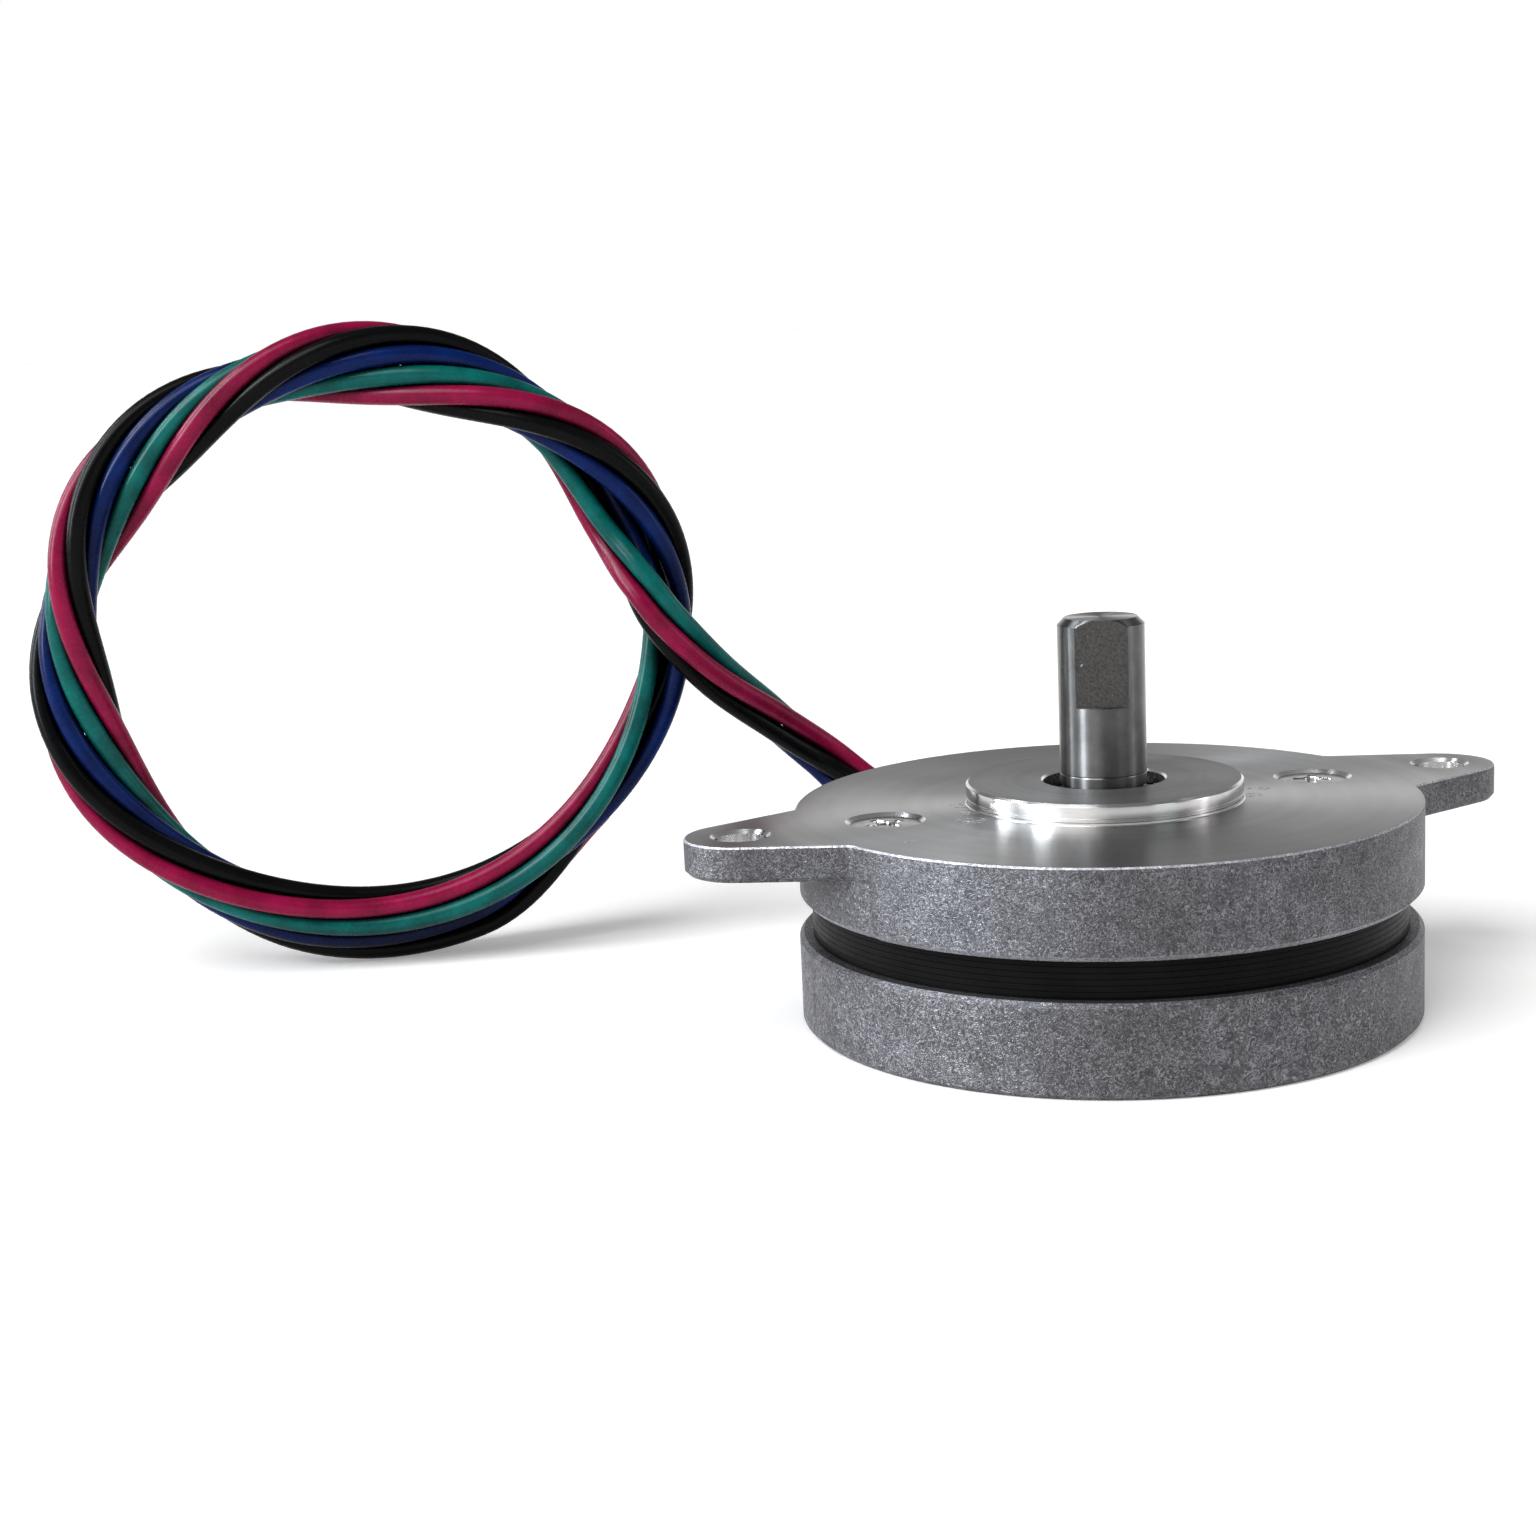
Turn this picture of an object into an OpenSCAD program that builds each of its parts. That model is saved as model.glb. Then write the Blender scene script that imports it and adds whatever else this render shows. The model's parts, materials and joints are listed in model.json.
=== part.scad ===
// Round pancake stepper motor, 36 mm across, with a two-ear flange, a shaft
// with one flat, and four loose leads wound into a ring. Millimetres, +Z along
// the shaft, origin at the middle of the face that the motor stands on.

/* [Covers] */
// Outer diameter of both covers
body_d = 36; // [35.8:0.1:36.4]
// Height of the rear cover, which is closed at the bottom
rear_cover_h = 5.2; // [5.0:0.1:5.4]
// Height of the band of laminations that shows between the covers
gap_h = 2.2; // [2.0:0.1:2.4]
// Height of the front cover, without its boss
front_cover_h = 5; // [4.9:0.1:5.4]
// Thickness of the floor of the rear cover
floor_t = 0.9; // [0.7:0.05:1.0]
// Thickness of the roof of the front cover
roof_t = 1.2; // [1.0:0.1:1.4]
// Thickness of the rim of both covers, beside the windings
rim_t = 1.6; // [1.4:0.1:1.7]
// Chamfer on the outer edges of the covers
edge_chamfer = 0.25; // [0.1:0.05:0.4]

/* [Boss and shaft] */
// Diameter of the pilot boss
boss_d = 16; // [15:0.5:18]
// Height of the pilot boss above the front cover
boss_h = 1.2; // [1.1:0.1:2]
// Diameter of the hole in the boss that the shaft comes through
boss_bore_d = 7; // [6.6:0.1:7.4]
// Diameter of the shaft
shaft_d = 5; // [4.9:0.05:5.1]
// Length of shaft that stands above the front cover
shaft_out = 10.6; // [8:0.2:20]
// Length of the flat at the end of the shaft
flat_l = 5; // [3:0.5:7]
// Depth of the flat
flat_depth = 0.5; // [0.3:0.1:0.8]
// Chamfer on the end of the shaft
shaft_chamfer = 0.4; // [0.2:0.1:0.6]

/* [Ears] */
// Distance from the outside of the cover to the middle of a mounting hole
ear_reach = 3.9; // [3.7:0.1:5]
// Diameter of a mounting hole
ear_hole_d = 3; // [2.6:0.1:3.4]
// Radius of the round end of an ear
ear_end_r = 3.2; // [3:0.1:3.6]
// Thickness of an ear
ear_t = 2; // [1.6:0.1:2.4]
// Angle by which each side of an ear leans out from the middle line
ear_taper = 22; // [18:1:26]

/* [Cover screws] */
// Distance from the outside of the cover in to the middle of a cover screw
screw_inset = 4.6; // [4.55:0.05:4.7]
// Diameter of a screw's thread
screw_d = 2; // [1.8:0.1:2]
// Diameter of a screw's countersunk head
screw_head_d = 4.2; // [3.8:0.1:4.4]
// Height of the screw posts above the floor of the rear cover
post_h = 2.3; // [2:0.1:2.4]

/* [Stator] */
// Thickness of both covers' rim where it goes round the stack
stack_seat_t = 0.8; // [0.7:0.05:0.9]
// Height of the stack
stack_h = 4; // [3.8:0.1:4.2]
// Number of laminations in the stack
lamination_count = 12; // [8:1:14]
// Varnish gap between two laminations
varnish_gap = 0.03; // [0.02:0.01:0.05]
// Radial thickness of the ring of iron that joins the poles
back_iron_t = 2.2; // [2:0.1:2.3]
// Width of the neck of a pole
pole_w = 2.6; // [2.2:0.1:2.8]
// Radial thickness of the toothed shoe of a pole
shoe_t = 1.2; // [1:0.1:1.3]
// Depth of the slots between the teeth of the stator and of the rotor
tooth_depth = 0.5; // [0.3:0.05:0.6]
// Thickness of the insulators round the poles
insulation_t = 0.3; // [0.2:0.05:0.35]
// Thickness of the winding on each side of a pole
winding_t = 1.4; // [1:0.1:1.5]

/* [Rotor] */
// Outer diameter of the toothed rotor cups
rotor_d = 18; // [17.6:0.1:18.2]
// Air gap between the rotor and the stator
air_gap = 0.1; // [0.08:0.01:0.15]
// Number of teeth round the rotor
rotor_teeth = 50; // [40:2:50]
// Height of each rotor cup
cup_h = 1.3; // [1.1:0.05:1.35]
// Height of the ring magnet between the cups
magnet_h = 1; // [0.9:0.05:1.1]
// Step from the outside of the cups in to the ring magnet
magnet_inset = 1.2; // [0.8:0.1:2]

/* [Bearings] */
// Outer diameter of a bearing
bearing_od = 9; // [9:0.1:9.4]
// Width of a bearing
bearing_w = 3; // [2.9:0.05:3.05]
// Diameter of a ball
ball_d = 1.2; // [1.1:0.05:1.25]
// Number of balls in a bearing
ball_count = 8; // [6:1:10]
// Height of the wave washer that loads the bearings
washer_h = 0.3; // [0.25:0.01:0.3]
// Thickness of the wave washer's metal
washer_t = 0.12; // [0.1:0.01:0.15]

/* [Leads] */
// Diameter of each of the four leads
wire_d = 1.2; // [1.1:0.05:1.2]
// Distance between the leads side by side in the outlet
outlet_pitch = 1.35; // [1.3:0.05:1.4]
// Angle of the outlet round the motor, from +X
outlet_angle = 106; // [100:1:112]
// Width of the outlet's window
outlet_w = 5.8; // [5.6:0.1:6.4]
// Height of the outlet's window
outlet_h = 2; // [1.8:0.1:2.2]

/* [Hidden] */

// Facets of large and small round forms
$fn = 96;
small_fn = 32;
// One overrun for every cut
overrun = 1;
// Heights of the covers' faces
front_z = rear_cover_h + gap_h;
top_z = front_z + front_cover_h;
boss_z = top_z + boss_h;
roof_z = top_z - roof_t;
// Places of the mounting holes and of the cover screws
hole_spacing = body_d + 2 * ear_reach;
screw_circle_d = body_d - 2 * screw_inset;
// The stack lies in the middle of the gap and reaches into both covers
stack_mid_z = rear_cover_h + gap_h / 2;
stack_z = stack_mid_z - stack_h / 2;
stack_top_z = stack_z + stack_h;
// Bearing seats, with a lip of the boss left over the front one
lip_t = 0.8;
lip_z = boss_z - lip_t;
front_bearing_z = lip_z - bearing_w;
rear_bearing_z = floor_t + washer_h;
hub_wall = 1.4;
bearing_r = bearing_od / 2;
hub_r = bearing_r + hub_wall;
// Rotor, centred on the stack
rotor_h = 2 * cup_h + magnet_h;
rotor_z = stack_mid_z - rotor_h / 2;
rotor_top_z = rotor_z + rotor_h;
shaft_r = shaft_d / 2;
shaft_tip_z = top_z + shaft_out;
shaft_end_gap = 0.1;
// Neck turned into the shaft just above the front bearing, where its free end starts
neck_w = 0.55;
neck_depth = 0.2;
magnet_r = rotor_d / 2 - magnet_inset;
// Bearing rings, balls and shields
ring_wall = 0.6;
inner_ring_r = shaft_r + ring_wall;
race_r = bearing_r - ring_wall;
pitch_r = (inner_ring_r + race_r) / 2;
ball_r = ball_d / 2;
ball_gap = 0.03;
cage_rim = 0.25;
cage_half_w = ball_r + cage_rim;
shield_seat = 0.25;
shield_t = 0.15;
shield_gap = 0.15;
shield_lap = 0.22;
shield_r = race_r + shield_lap;
// Stator poles, with a slot between two poles on the line of the ears
pole_count = 8;
pole_step = 360 / pole_count;
stack_r = body_d / 2 - stack_seat_t;
iron_r = stack_r - back_iron_t;
bore_r = rotor_d / 2 + air_gap;
shoe_r = bore_r + shoe_t;
teeth_per_pole = 5;
tooth_pitch = 360 / rotor_teeth;
tooth_angle = 3.2;
tooth_slot_w = 0.6;
flat_turn = -113;
shoe_angle = (teeth_per_pole - 1) * tooth_pitch + tooth_angle;
// Insulators and windings
flange_t = 0.4;
flange_h = 2.9;
sleeve_half_w = pole_w / 2 + insulation_t;
sleeve_half_h = stack_h / 2 + insulation_t;
coil_half_w = sleeve_half_w + winding_t;
coil_half_h = sleeve_half_h + winding_t;
collar_t = 0.5;
coil_end_gap = 0.4;
coil_in_r = shoe_r + flange_t;
coil_out_r = iron_r - collar_t - coil_end_gap;
coil_corner_r = 0.8;
collar_h = 2.9;
split_gap = 0.04;
// Screws
screw_r = screw_d / 2;
head_r = screw_head_d / 2;
head_sink = 0.15;
head_gap = 0.02;
shank_gap = 0.15;
post_r = 1.9;
screw_tip_gap = 0.2;
recess_w = 0.5;
recess_l = 2.3;
recess_depth = 0.7;
// Boss, ears and the shallow relief of the wall under each ear
boss_chamfer = 0.15;
foot_h = 0.15;
groove_w = 0.12;
groove_depth = 0.2;
bore_chamfer = 0.12;
relief_depth = 0.12;
relief_half_w = 7;

// Leads: the ring that they are wound into stands on its edge behind the motor
ring_rx = 19.1;
ring_rz = 18.2;
ring_rest = 2.7;
ring_at = [-38.7, 28.1, ring_rz + ring_rest];
ring_turn = -12;
coil_from = 42;
coil_to = 678;
coil_step = 12;
// Two passes of four leads wrap round each other two and a half times a loop
wraps = 2.5;
wrap_start = 178;
wrap_mid = 105;
wrap_swing_share = 0.5;
wrap_flat_share = 0.2;
// The end of the second pass is tucked behind the first
tuck_from = 608;
tuck_l = 60;
tuck_back = 4.2;
tuck_in_from = 646;
tuck_in_l = 30;
tuck_in = 1.8;
// Across the ring each pass is an arc of four leads side by side
lead_gap = 0.08;
lead_pitch = wire_d + lead_gap;
ring_spread = 75;
bundle_spread = 90;
row_spread = 0.5;
pass_offset = 1.05;
// The straight way out of the outlet, then the bundle's route by hand
bore_depth = 1.6;
bore_gap = 0.02;
straight_l = 1.2;
lead_z = stack_top_z + outlet_h / 2;
outlet_r = body_d / 2;
lead_route = [
    [-6.1, 20.6, 9.2],
    [-7.7, 22.9, 9.5],
    [-10.3, 24, 10.8],
    [-13.5, 23.5, 15],
    [-17, 22.9, 18.5],
    [-20.1, 22.4, 22.1],
    [-21.7, 22.6, 25.2],
    [-23.2, 24, 28.3]
];
// Where the leads change from a row to a bundle to an arc, as shares of the route
pitch_share = 0.25;
bundle_share = 0.33;
arc_share = 0.5;
pass_share = 0.17;
twist_power = 1.3;
run_count = 18;
way_step = 0.02;
tip_d = 0.6;
tip_l = 4;
run_sides = 8;
coil_sides = 6;

// Places of the four leads across the bundle, in steps from its middle
GREEN = -1.5;
RED = -0.5;
BLACK = 0.5;
BLUE = 1.5;
LEADS = [GREEN, RED, BLACK, BLUE];

// Shared helpers

// A flat ring between two radii
module ring(r_out, r_in, h) {
    difference() {
        cylinder(r = r_out, h = h);
        translate([0, 0, -overrun]) cylinder(r = r_in, h = h + 2 * overrun);
    }
}

// A cover's outer wall: a disc with a chamfer on both edges
module chamfered_disc(r, h, c) {
    rotate_extrude() polygon([[0, 0], [r - c, 0], [r, c], [r, h - c], [r - c, h], [0, h]]);
}

// Turns its children onto each pole in turn, from the first by the step given
module on_poles(first, step) {
    for (i = [first : step : pole_count - 1]) rotate([0, 0, (i + 0.5) * pole_step]) children();
}

// Covers

// One ear seen from above, from inside the cover to its round end
module ear_outline(side) {
    hole_x = hole_spacing / 2;
    root_x = screw_circle_d / 2;
    tangent_x = hole_x + ear_end_r * sin(ear_taper);
    tangent_y = ear_end_r * cos(ear_taper);
    root_y = tangent_y + (tangent_x - root_x) * tan(ear_taper);
    mirror([side < 0 ? 1 : 0, 0]) {
        translate([hole_x, 0]) circle(r = ear_end_r, $fn = small_fn);
        polygon([[root_x, -root_y], [tangent_x, -tangent_y], [tangent_x, tangent_y], [root_x, root_y]]);
    }
}

// The shallow step in the wall under each ear, left where the ear was milled
module ear_relief(side) {
    rotate([0, 0, side > 0 ? 0 : 180]) translate([0, -relief_half_w, front_z - overrun])
        cube([body_d, 2 * relief_half_w, front_cover_h - ear_t + overrun]);
}

module front_cover() {
    color("#8d8f93") difference() {
        union() {
            difference() {
                translate([0, 0, front_z]) chamfered_disc(body_d / 2, front_cover_h, edge_chamfer);
                difference() {
                    union() {
                        ear_relief(1);
                        ear_relief(-1);
                    }
                    translate([0, 0, front_z - 2 * overrun])
                        cylinder(r = body_d / 2 - relief_depth, h = front_cover_h + 3 * overrun);
                }
            }
            for (side = [-1, 1]) translate([0, 0, top_z - ear_t]) linear_extrude(ear_t) ear_outline(side);
            translate([0, 0, top_z]) boss();
        }
        // Seat of the stack, the space over the windings and the window of the leads
        translate([0, 0, front_z - overrun]) cylinder(r = stack_r, h = stack_top_z - front_z + overrun);
        translate([0, 0, stack_top_z - overrun])
            ring(body_d / 2 - rim_t, hub_r, roof_z - stack_top_z + overrun);
        translate([0, 0, front_z - overrun]) cylinder(r = hub_r + overrun, h = front_bearing_z - front_z + overrun);
        outlet_window(0);
        // Bearing seat and the hole for the shaft
        translate([0, 0, front_bearing_z - overrun]) cylinder(r = bearing_r, h = bearing_w + overrun);
        translate([0, 0, front_bearing_z]) cylinder(d = boss_bore_d, h = boss_z - front_bearing_z + overrun);
        translate([0, 0, boss_z - bore_chamfer])
            cylinder(d1 = boss_bore_d, d2 = boss_bore_d + 2 * bore_chamfer, h = bore_chamfer);
        for (side = [-1, 1]) {
            translate([side * hole_spacing / 2, 0, top_z - ear_t - overrun])
                cylinder(d = ear_hole_d, h = ear_t + 2 * overrun, $fn = small_fn);
            translate([side * screw_circle_d / 2, 0, 0]) screw_clearance();
        }
    }
}

// The pilot boss with a chamfered top edge and a turned groove just above its foot
module boss() {
    r = boss_d / 2;
    bottom_r = r - groove_depth;
    groove_top = foot_h + groove_w;
    rotate_extrude() polygon([
        [0, 0], [r, 0], [r, foot_h], [bottom_r, foot_h], [bottom_r, groove_top], [r, groove_top],
        [r, boss_h - boss_chamfer], [r - boss_chamfer, boss_h], [0, boss_h]
    ]);
}

// Countersink and shank hole of a cover screw, from the roof to the top
module screw_clearance() {
    pocket_r = head_r + head_sink + head_gap;
    cone_h = pocket_r - screw_r - shank_gap;
    translate([0, 0, roof_z - overrun])
        cylinder(r = screw_r + shank_gap, h = roof_t + 2 * overrun, $fn = small_fn);
    translate([0, 0, top_z - cone_h])
        cylinder(r1 = screw_r + shank_gap, r2 = pocket_r, h = cone_h, $fn = small_fn);
}

// The window in the front cover's rim that the outlet block fills
module outlet_window(gap) {
    rotate([0, 0, outlet_angle]) translate([iron_r, -outlet_w / 2 + gap, stack_top_z])
        cube([body_d, outlet_w - 2 * gap, outlet_h]);
}

module rear_cover() {
    color("#8a8c90") {
        difference() {
            chamfered_disc(body_d / 2, rear_cover_h, edge_chamfer);
            translate([0, 0, stack_z]) cylinder(r = stack_r, h = stack_h);
            translate([0, 0, floor_t]) difference() {
                cylinder(r = body_d / 2 - rim_t, h = rear_cover_h);
                translate([0, 0, -overrun]) {
                    cylinder(r = hub_r, h = rear_bearing_z + bearing_w - floor_t + overrun);
                    for (side = [-1, 1]) translate([side * screw_circle_d / 2, 0, 0])
                        cylinder(r = post_r, h = post_h + overrun, $fn = small_fn);
                }
            }
            translate([0, 0, floor_t]) cylinder(r = bearing_r, h = rear_cover_h);
            for (side = [-1, 1]) translate([side * screw_circle_d / 2, 0, floor_t])
                cylinder(r = screw_r, h = rear_cover_h, $fn = small_fn);
        }
    }
}

module cover_screws() {
    color("#c9c6c0") for (side = [-1, 1]) translate([side * screw_circle_d / 2, 0, 0]) {
        head_z = top_z - head_sink;
        cone_h = head_r - screw_r;
        difference() {
            union() {
                translate([0, 0, floor_t + screw_tip_gap])
                    cylinder(r = screw_r, h = head_z - floor_t - screw_tip_gap, $fn = small_fn);
                translate([0, 0, head_z - cone_h]) cylinder(r1 = screw_r, r2 = head_r, h = cone_h, $fn = small_fn);
            }
            for (turn = [45, 135]) rotate([0, 0, turn])
                translate([-recess_l / 2, -recess_w / 2, head_z - recess_depth])
                    cube([recess_l, recess_w, recess_depth + overrun]);
        }
    }
}

// Stator

// One lamination seen from above: a ring of iron with eight toothed poles
module lamination_outline() {
    difference() {
        circle(r = stack_r);
        circle(r = iron_r);
    }
    for (i = [0 : pole_count - 1]) rotate((i + 0.5) * pole_step) {
        translate([shoe_r - overrun, -pole_w / 2]) square([iron_r - shoe_r + 2 * overrun, pole_w]);
        difference() {
            sector(shoe_r, shoe_angle);
            circle(r = bore_r);
            for (k = [1 : teeth_per_pole - 1]) rotate((k - teeth_per_pole / 2) * tooth_pitch)
                sector(bore_r + tooth_depth, tooth_pitch - tooth_angle);
        }
    }
}

// A pie slice of a disc, centred on +X
module sector(r, angle) {
    reach = 2 * r;
    intersection() {
        circle(r = r);
        polygon([[0, 0], [reach * cos(angle / 2), -reach * sin(angle / 2)],
                 [reach * cos(angle / 2), reach * sin(angle / 2)]]);
    }
}

module stator_laminations() {
    pitch = stack_h / lamination_count;
    color("#1c1c1e") for (i = [0 : lamination_count - 1])
        translate([0, 0, stack_z + i * pitch + varnish_gap / 2])
            linear_extrude(pitch - varnish_gap) lamination_outline();
}

// Half of the insulation: a sleeve over each pole with a flange at its inner
// end, joined by a collar against the ring of iron
module insulator_half() {
    sleeve_l = iron_r - shoe_r;
    difference() {
        union() {
            on_poles(0, 1) {
                translate([shoe_r, -sleeve_half_w, 0])
                    cube([sleeve_l - collar_t / 2, 2 * sleeve_half_w, sleeve_half_h]);
                translate([shoe_r, -flange_h, 0]) cube([flange_t, 2 * flange_h, coil_half_h - winding_t / 2]);
            }
            ring(iron_r, iron_r - collar_t, collar_h);
        }
        on_poles(0, 1) translate([0, -pole_w / 2, -overrun])
            cube([body_d / 2, pole_w, stack_h / 2 + overrun]);
        translate([0, 0, -overrun]) cylinder(r = shoe_r, h = 2 * coil_half_h);
        translate([0, 0, -overrun]) cube([body_d, body_d, 2 * (overrun + split_gap / 2)], center = true);
    }
}

module front_insulator() {
    color("#e9e4d4") translate([0, 0, stack_mid_z]) insulator_half();
}

module rear_insulator() {
    color("#e9e4d4") translate([0, 0, stack_mid_z]) mirror([0, 0, 1]) insulator_half();
}

// A winding: a closed loop of wire round a pole, with rounded corners
module winding() {
    translate([coil_in_r, 0, stack_mid_z]) rotate([90, 0, 90]) linear_extrude(coil_out_r - coil_in_r) difference() {
        rounded_box(coil_half_w, coil_half_h, coil_corner_r);
        square([2 * sleeve_half_w, 2 * sleeve_half_h], center = true);
    }
}

// A rectangle of half sizes a and b with round corners, made of exact arcs
module rounded_box(a, b, r) {
    square([2 * a, 2 * (b - r)], center = true);
    square([2 * (a - r), 2 * b], center = true);
    for (x = [-1, 1], y = [-1, 1]) translate([x * (a - r), y * (b - r)]) circle(r = r, $fn = small_fn);
}

module phase_a_windings() {
    color("#b4622d") on_poles(0, 2) winding();
}

module phase_b_windings() {
    color("#b4622d") on_poles(1, 2) winding();
}

// The moulded block that fills the window, with a blind hole for each lead
module lead_outlet() {
    color("#26262a") difference() {
        intersection() {
            outlet_window(bore_gap);
            translate([0, 0, stack_top_z]) ring(outlet_r, iron_r + bore_gap, outlet_h);
        }
        rotate([0, 0, outlet_angle]) for (i = LEADS)
            translate([outlet_r - bore_depth, i * outlet_pitch, lead_z]) rotate([0, 90, 0])
                cylinder(r = wire_d / 2 + bore_gap, h = bore_depth + overrun, $fn = small_fn);
    }
}

// Bearings, each drawn from its lower face up

module outer_ring() {
    difference() {
        ring(bearing_r, race_r, bearing_w);
        race_groove();
        for (z = [0, bearing_w]) translate([0, 0, z])
            cylinder(r = shield_r + bore_gap, h = 2 * shield_seat, center = true);
    }
}

module inner_ring() {
    difference() {
        ring(inner_ring_r, shaft_r, bearing_w);
        race_groove();
    }
}

// The round groove that the balls run in
module race_groove() {
    translate([0, 0, bearing_w / 2]) rotate_extrude()
        translate([pitch_r, 0]) circle(r = ball_r + ball_gap, $fn = small_fn);
}

module balls() {
    for (i = [0 : ball_count - 1]) rotate([0, 0, i * 360 / ball_count])
        translate([pitch_r, 0, bearing_w / 2]) sphere(r = ball_r, $fn = small_fn);
}

module ball_cage() {
    translate([0, 0, bearing_w / 2]) difference() {
        translate([0, 0, -cage_half_w]) ring(race_r - ring_wall / 3, inner_ring_r + ring_wall / 3, 2 * cage_half_w);
        for (i = [0 : ball_count - 1]) rotate([0, 0, i * 360 / ball_count])
            rotate([0, 90, 0]) cylinder(r = ball_r + ball_gap, h = bearing_r, $fn = small_fn);
    }
}

module shields() {
    for (z = [shield_seat - shield_t, bearing_w - shield_seat])
        translate([0, 0, z]) ring(shield_r, inner_ring_r + shield_gap, shield_t);
}

module front_outer_ring() {
    color("#b9bbbf") translate([0, 0, front_bearing_z]) outer_ring();
}

module front_inner_ring() {
    color("#b9bbbf") translate([0, 0, front_bearing_z]) inner_ring();
}

module front_balls() {
    color("#d5d7da") translate([0, 0, front_bearing_z]) balls();
}

module front_ball_cage() {
    color("#a98d52") translate([0, 0, front_bearing_z]) ball_cage();
}

module front_shields() {
    color("#9b9da1") translate([0, 0, front_bearing_z]) shields();
}

module rear_outer_ring() {
    color("#b9bbbf") translate([0, 0, rear_bearing_z]) outer_ring();
}

module rear_inner_ring() {
    color("#b9bbbf") translate([0, 0, rear_bearing_z]) inner_ring();
}

module rear_balls() {
    color("#d5d7da") translate([0, 0, rear_bearing_z]) balls();
}

module rear_ball_cage() {
    color("#a98d52") translate([0, 0, rear_bearing_z]) ball_cage();
}

module rear_shields() {
    color("#9b9da1") translate([0, 0, rear_bearing_z]) shields();
}

// The wave washer: a flat ring whose height follows three waves
module wave_washer() {
    count = 48;
    waves = 3;
    r_out = bearing_r - shield_gap;
    r_in = race_r - ring_wall / 2;
    swing = (washer_h - washer_t) / 2;
    function height(i) = swing * (1 + cos(waves * i * 360 / count));
    corners = [for (i = [0 : count - 1]) for (c = [[r_in, 0], [r_out, 0], [r_out, washer_t], [r_in, washer_t]])
        [c[0] * cos(i * 360 / count), c[0] * sin(i * 360 / count), height(i) + c[1]]];
    faces = [for (i = [0 : count - 1]) for (k = [0 : 3]) let (a = 4 * i, b = 4 * ((i + 1) % count), n = (k + 1) % 4)
        for (f = [[a + k, b + k, b + n], [a + k, b + n, a + n]]) f];
    color("#8f9094") translate([0, 0, floor_t]) polyhedron(corners, faces);
}

// Rotor

module shaft() {
    tip_c = shaft_chamfer;
    base_z = floor_t + shaft_end_gap;
    color("#a9abb0") difference() {
        translate([0, 0, base_z]) rotate_extrude() polygon([
            [0, 0], [shaft_r - tip_c / 2, 0], [shaft_r, tip_c / 2], [shaft_r, shaft_tip_z - base_z - tip_c],
            [shaft_r - tip_c, shaft_tip_z - base_z], [0, shaft_tip_z - base_z]
        ]);
        translate([0, 0, lip_z]) ring(shaft_d, shaft_r - neck_depth, neck_w);
        rotate([0, 0, flat_turn]) translate([shaft_r - flat_depth, -shaft_d, shaft_tip_z - flat_l])
            cube([shaft_d, 2 * shaft_d, flat_l + overrun]);
    }
}

// A toothed cup, its teeth turned by the angle given
module rotor_cup(turn) {
    difference() {
        cylinder(d = rotor_d, h = cup_h);
        translate([0, 0, -overrun]) cylinder(r = shaft_r, h = cup_h + 2 * overrun);
        for (i = [0 : rotor_teeth - 1]) rotate([0, 0, turn + i * tooth_pitch])
            translate([rotor_d / 2 - tooth_depth, -tooth_slot_w / 2, -overrun])
                cube([2 * tooth_depth, tooth_slot_w, cup_h + 2 * overrun]);
    }
}

module rotor_cup_front() {
    color("#6e7074") translate([0, 0, rotor_top_z - cup_h]) rotor_cup(tooth_pitch / 2);
}

module rotor_cup_rear() {
    color("#6e7074") translate([0, 0, rotor_z]) rotor_cup(0);
}

module rotor_magnet() {
    color("#3a3b3f") translate([0, 0, rotor_z + cup_h]) ring(magnet_r, shaft_r, magnet_h);
}

module front_spacer() {
    color("#a08a55") translate([0, 0, rotor_top_z]) ring(inner_ring_r, shaft_r, front_bearing_z - rotor_top_z);
}

module rear_spacer() {
    z = rear_bearing_z + bearing_w;
    color("#a08a55") translate([0, 0, z]) ring(inner_ring_r, shaft_r, rotor_z - z);
}

// Leads

// Directions of the ring that the leads are wound into: along, and towards the front
ring_along = [cos(ring_turn), sin(ring_turn), 0];
ring_front = [sin(ring_turn), -cos(ring_turn), 0];
UP = [0, 0, 1];

function unit(v) = v / norm(v);
function mix(a, b, k) = a + (b - a) * k;
function ease(k) = let (c = min(max(k, 0), 1)) c * c * (3 - 2 * c);

// Middle of the two passes at an angle round the ring, and the way outwards
function core(t) = ring_at + ring_rx * cos(t) * ring_along + ring_rz * sin(t) * UP;
function outwards(t) = unit(ring_rz * cos(t) * ring_along + ring_rx * sin(t) * UP);

// Angle of the wrap, which slackens where the lead comes in
function wrap(t) = wrap_start + wraps * (t + 180 / PI * (wrap_swing_share * sin(t - wrap_mid)
    - wrap_flat_share / 2 * sin(2 * (t - wrap_mid))));

// Place of lead i across the bundle: an arc of leads side by side, whose
// neighbours lie one pitch apart, each turned by the spread angle, its top
// at the distance given from the middle
function arc_r(pitch, spread) = pitch / (2 * sin(spread / 2));
function across(i, pitch, spread, top) = let (r = arc_r(pitch, spread))
    [top + r * (cos(i * spread) - 1), r * sin(i * spread)];
function turned(p, a) = [p[0] * cos(a) - p[1] * sin(a), p[0] * sin(a) + p[1] * cos(a)];

bundle_top = arc_r(lead_pitch, bundle_spread);
pass_top = pass_offset + arc_r(lead_pitch, ring_spread);

// Lead i at an angle round the ring, with the last of it tucked behind
function on_ring(i, t) = let (p = turned(across(i, lead_pitch, ring_spread, pass_top), wrap(t)))
    core(t) + outwards(t) * (p[0] - tuck_in * ease((t - tuck_in_from) / tuck_in_l))
    + ring_front * (p[1] - tuck_back * ease((t - tuck_from) / tuck_l));

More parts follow.
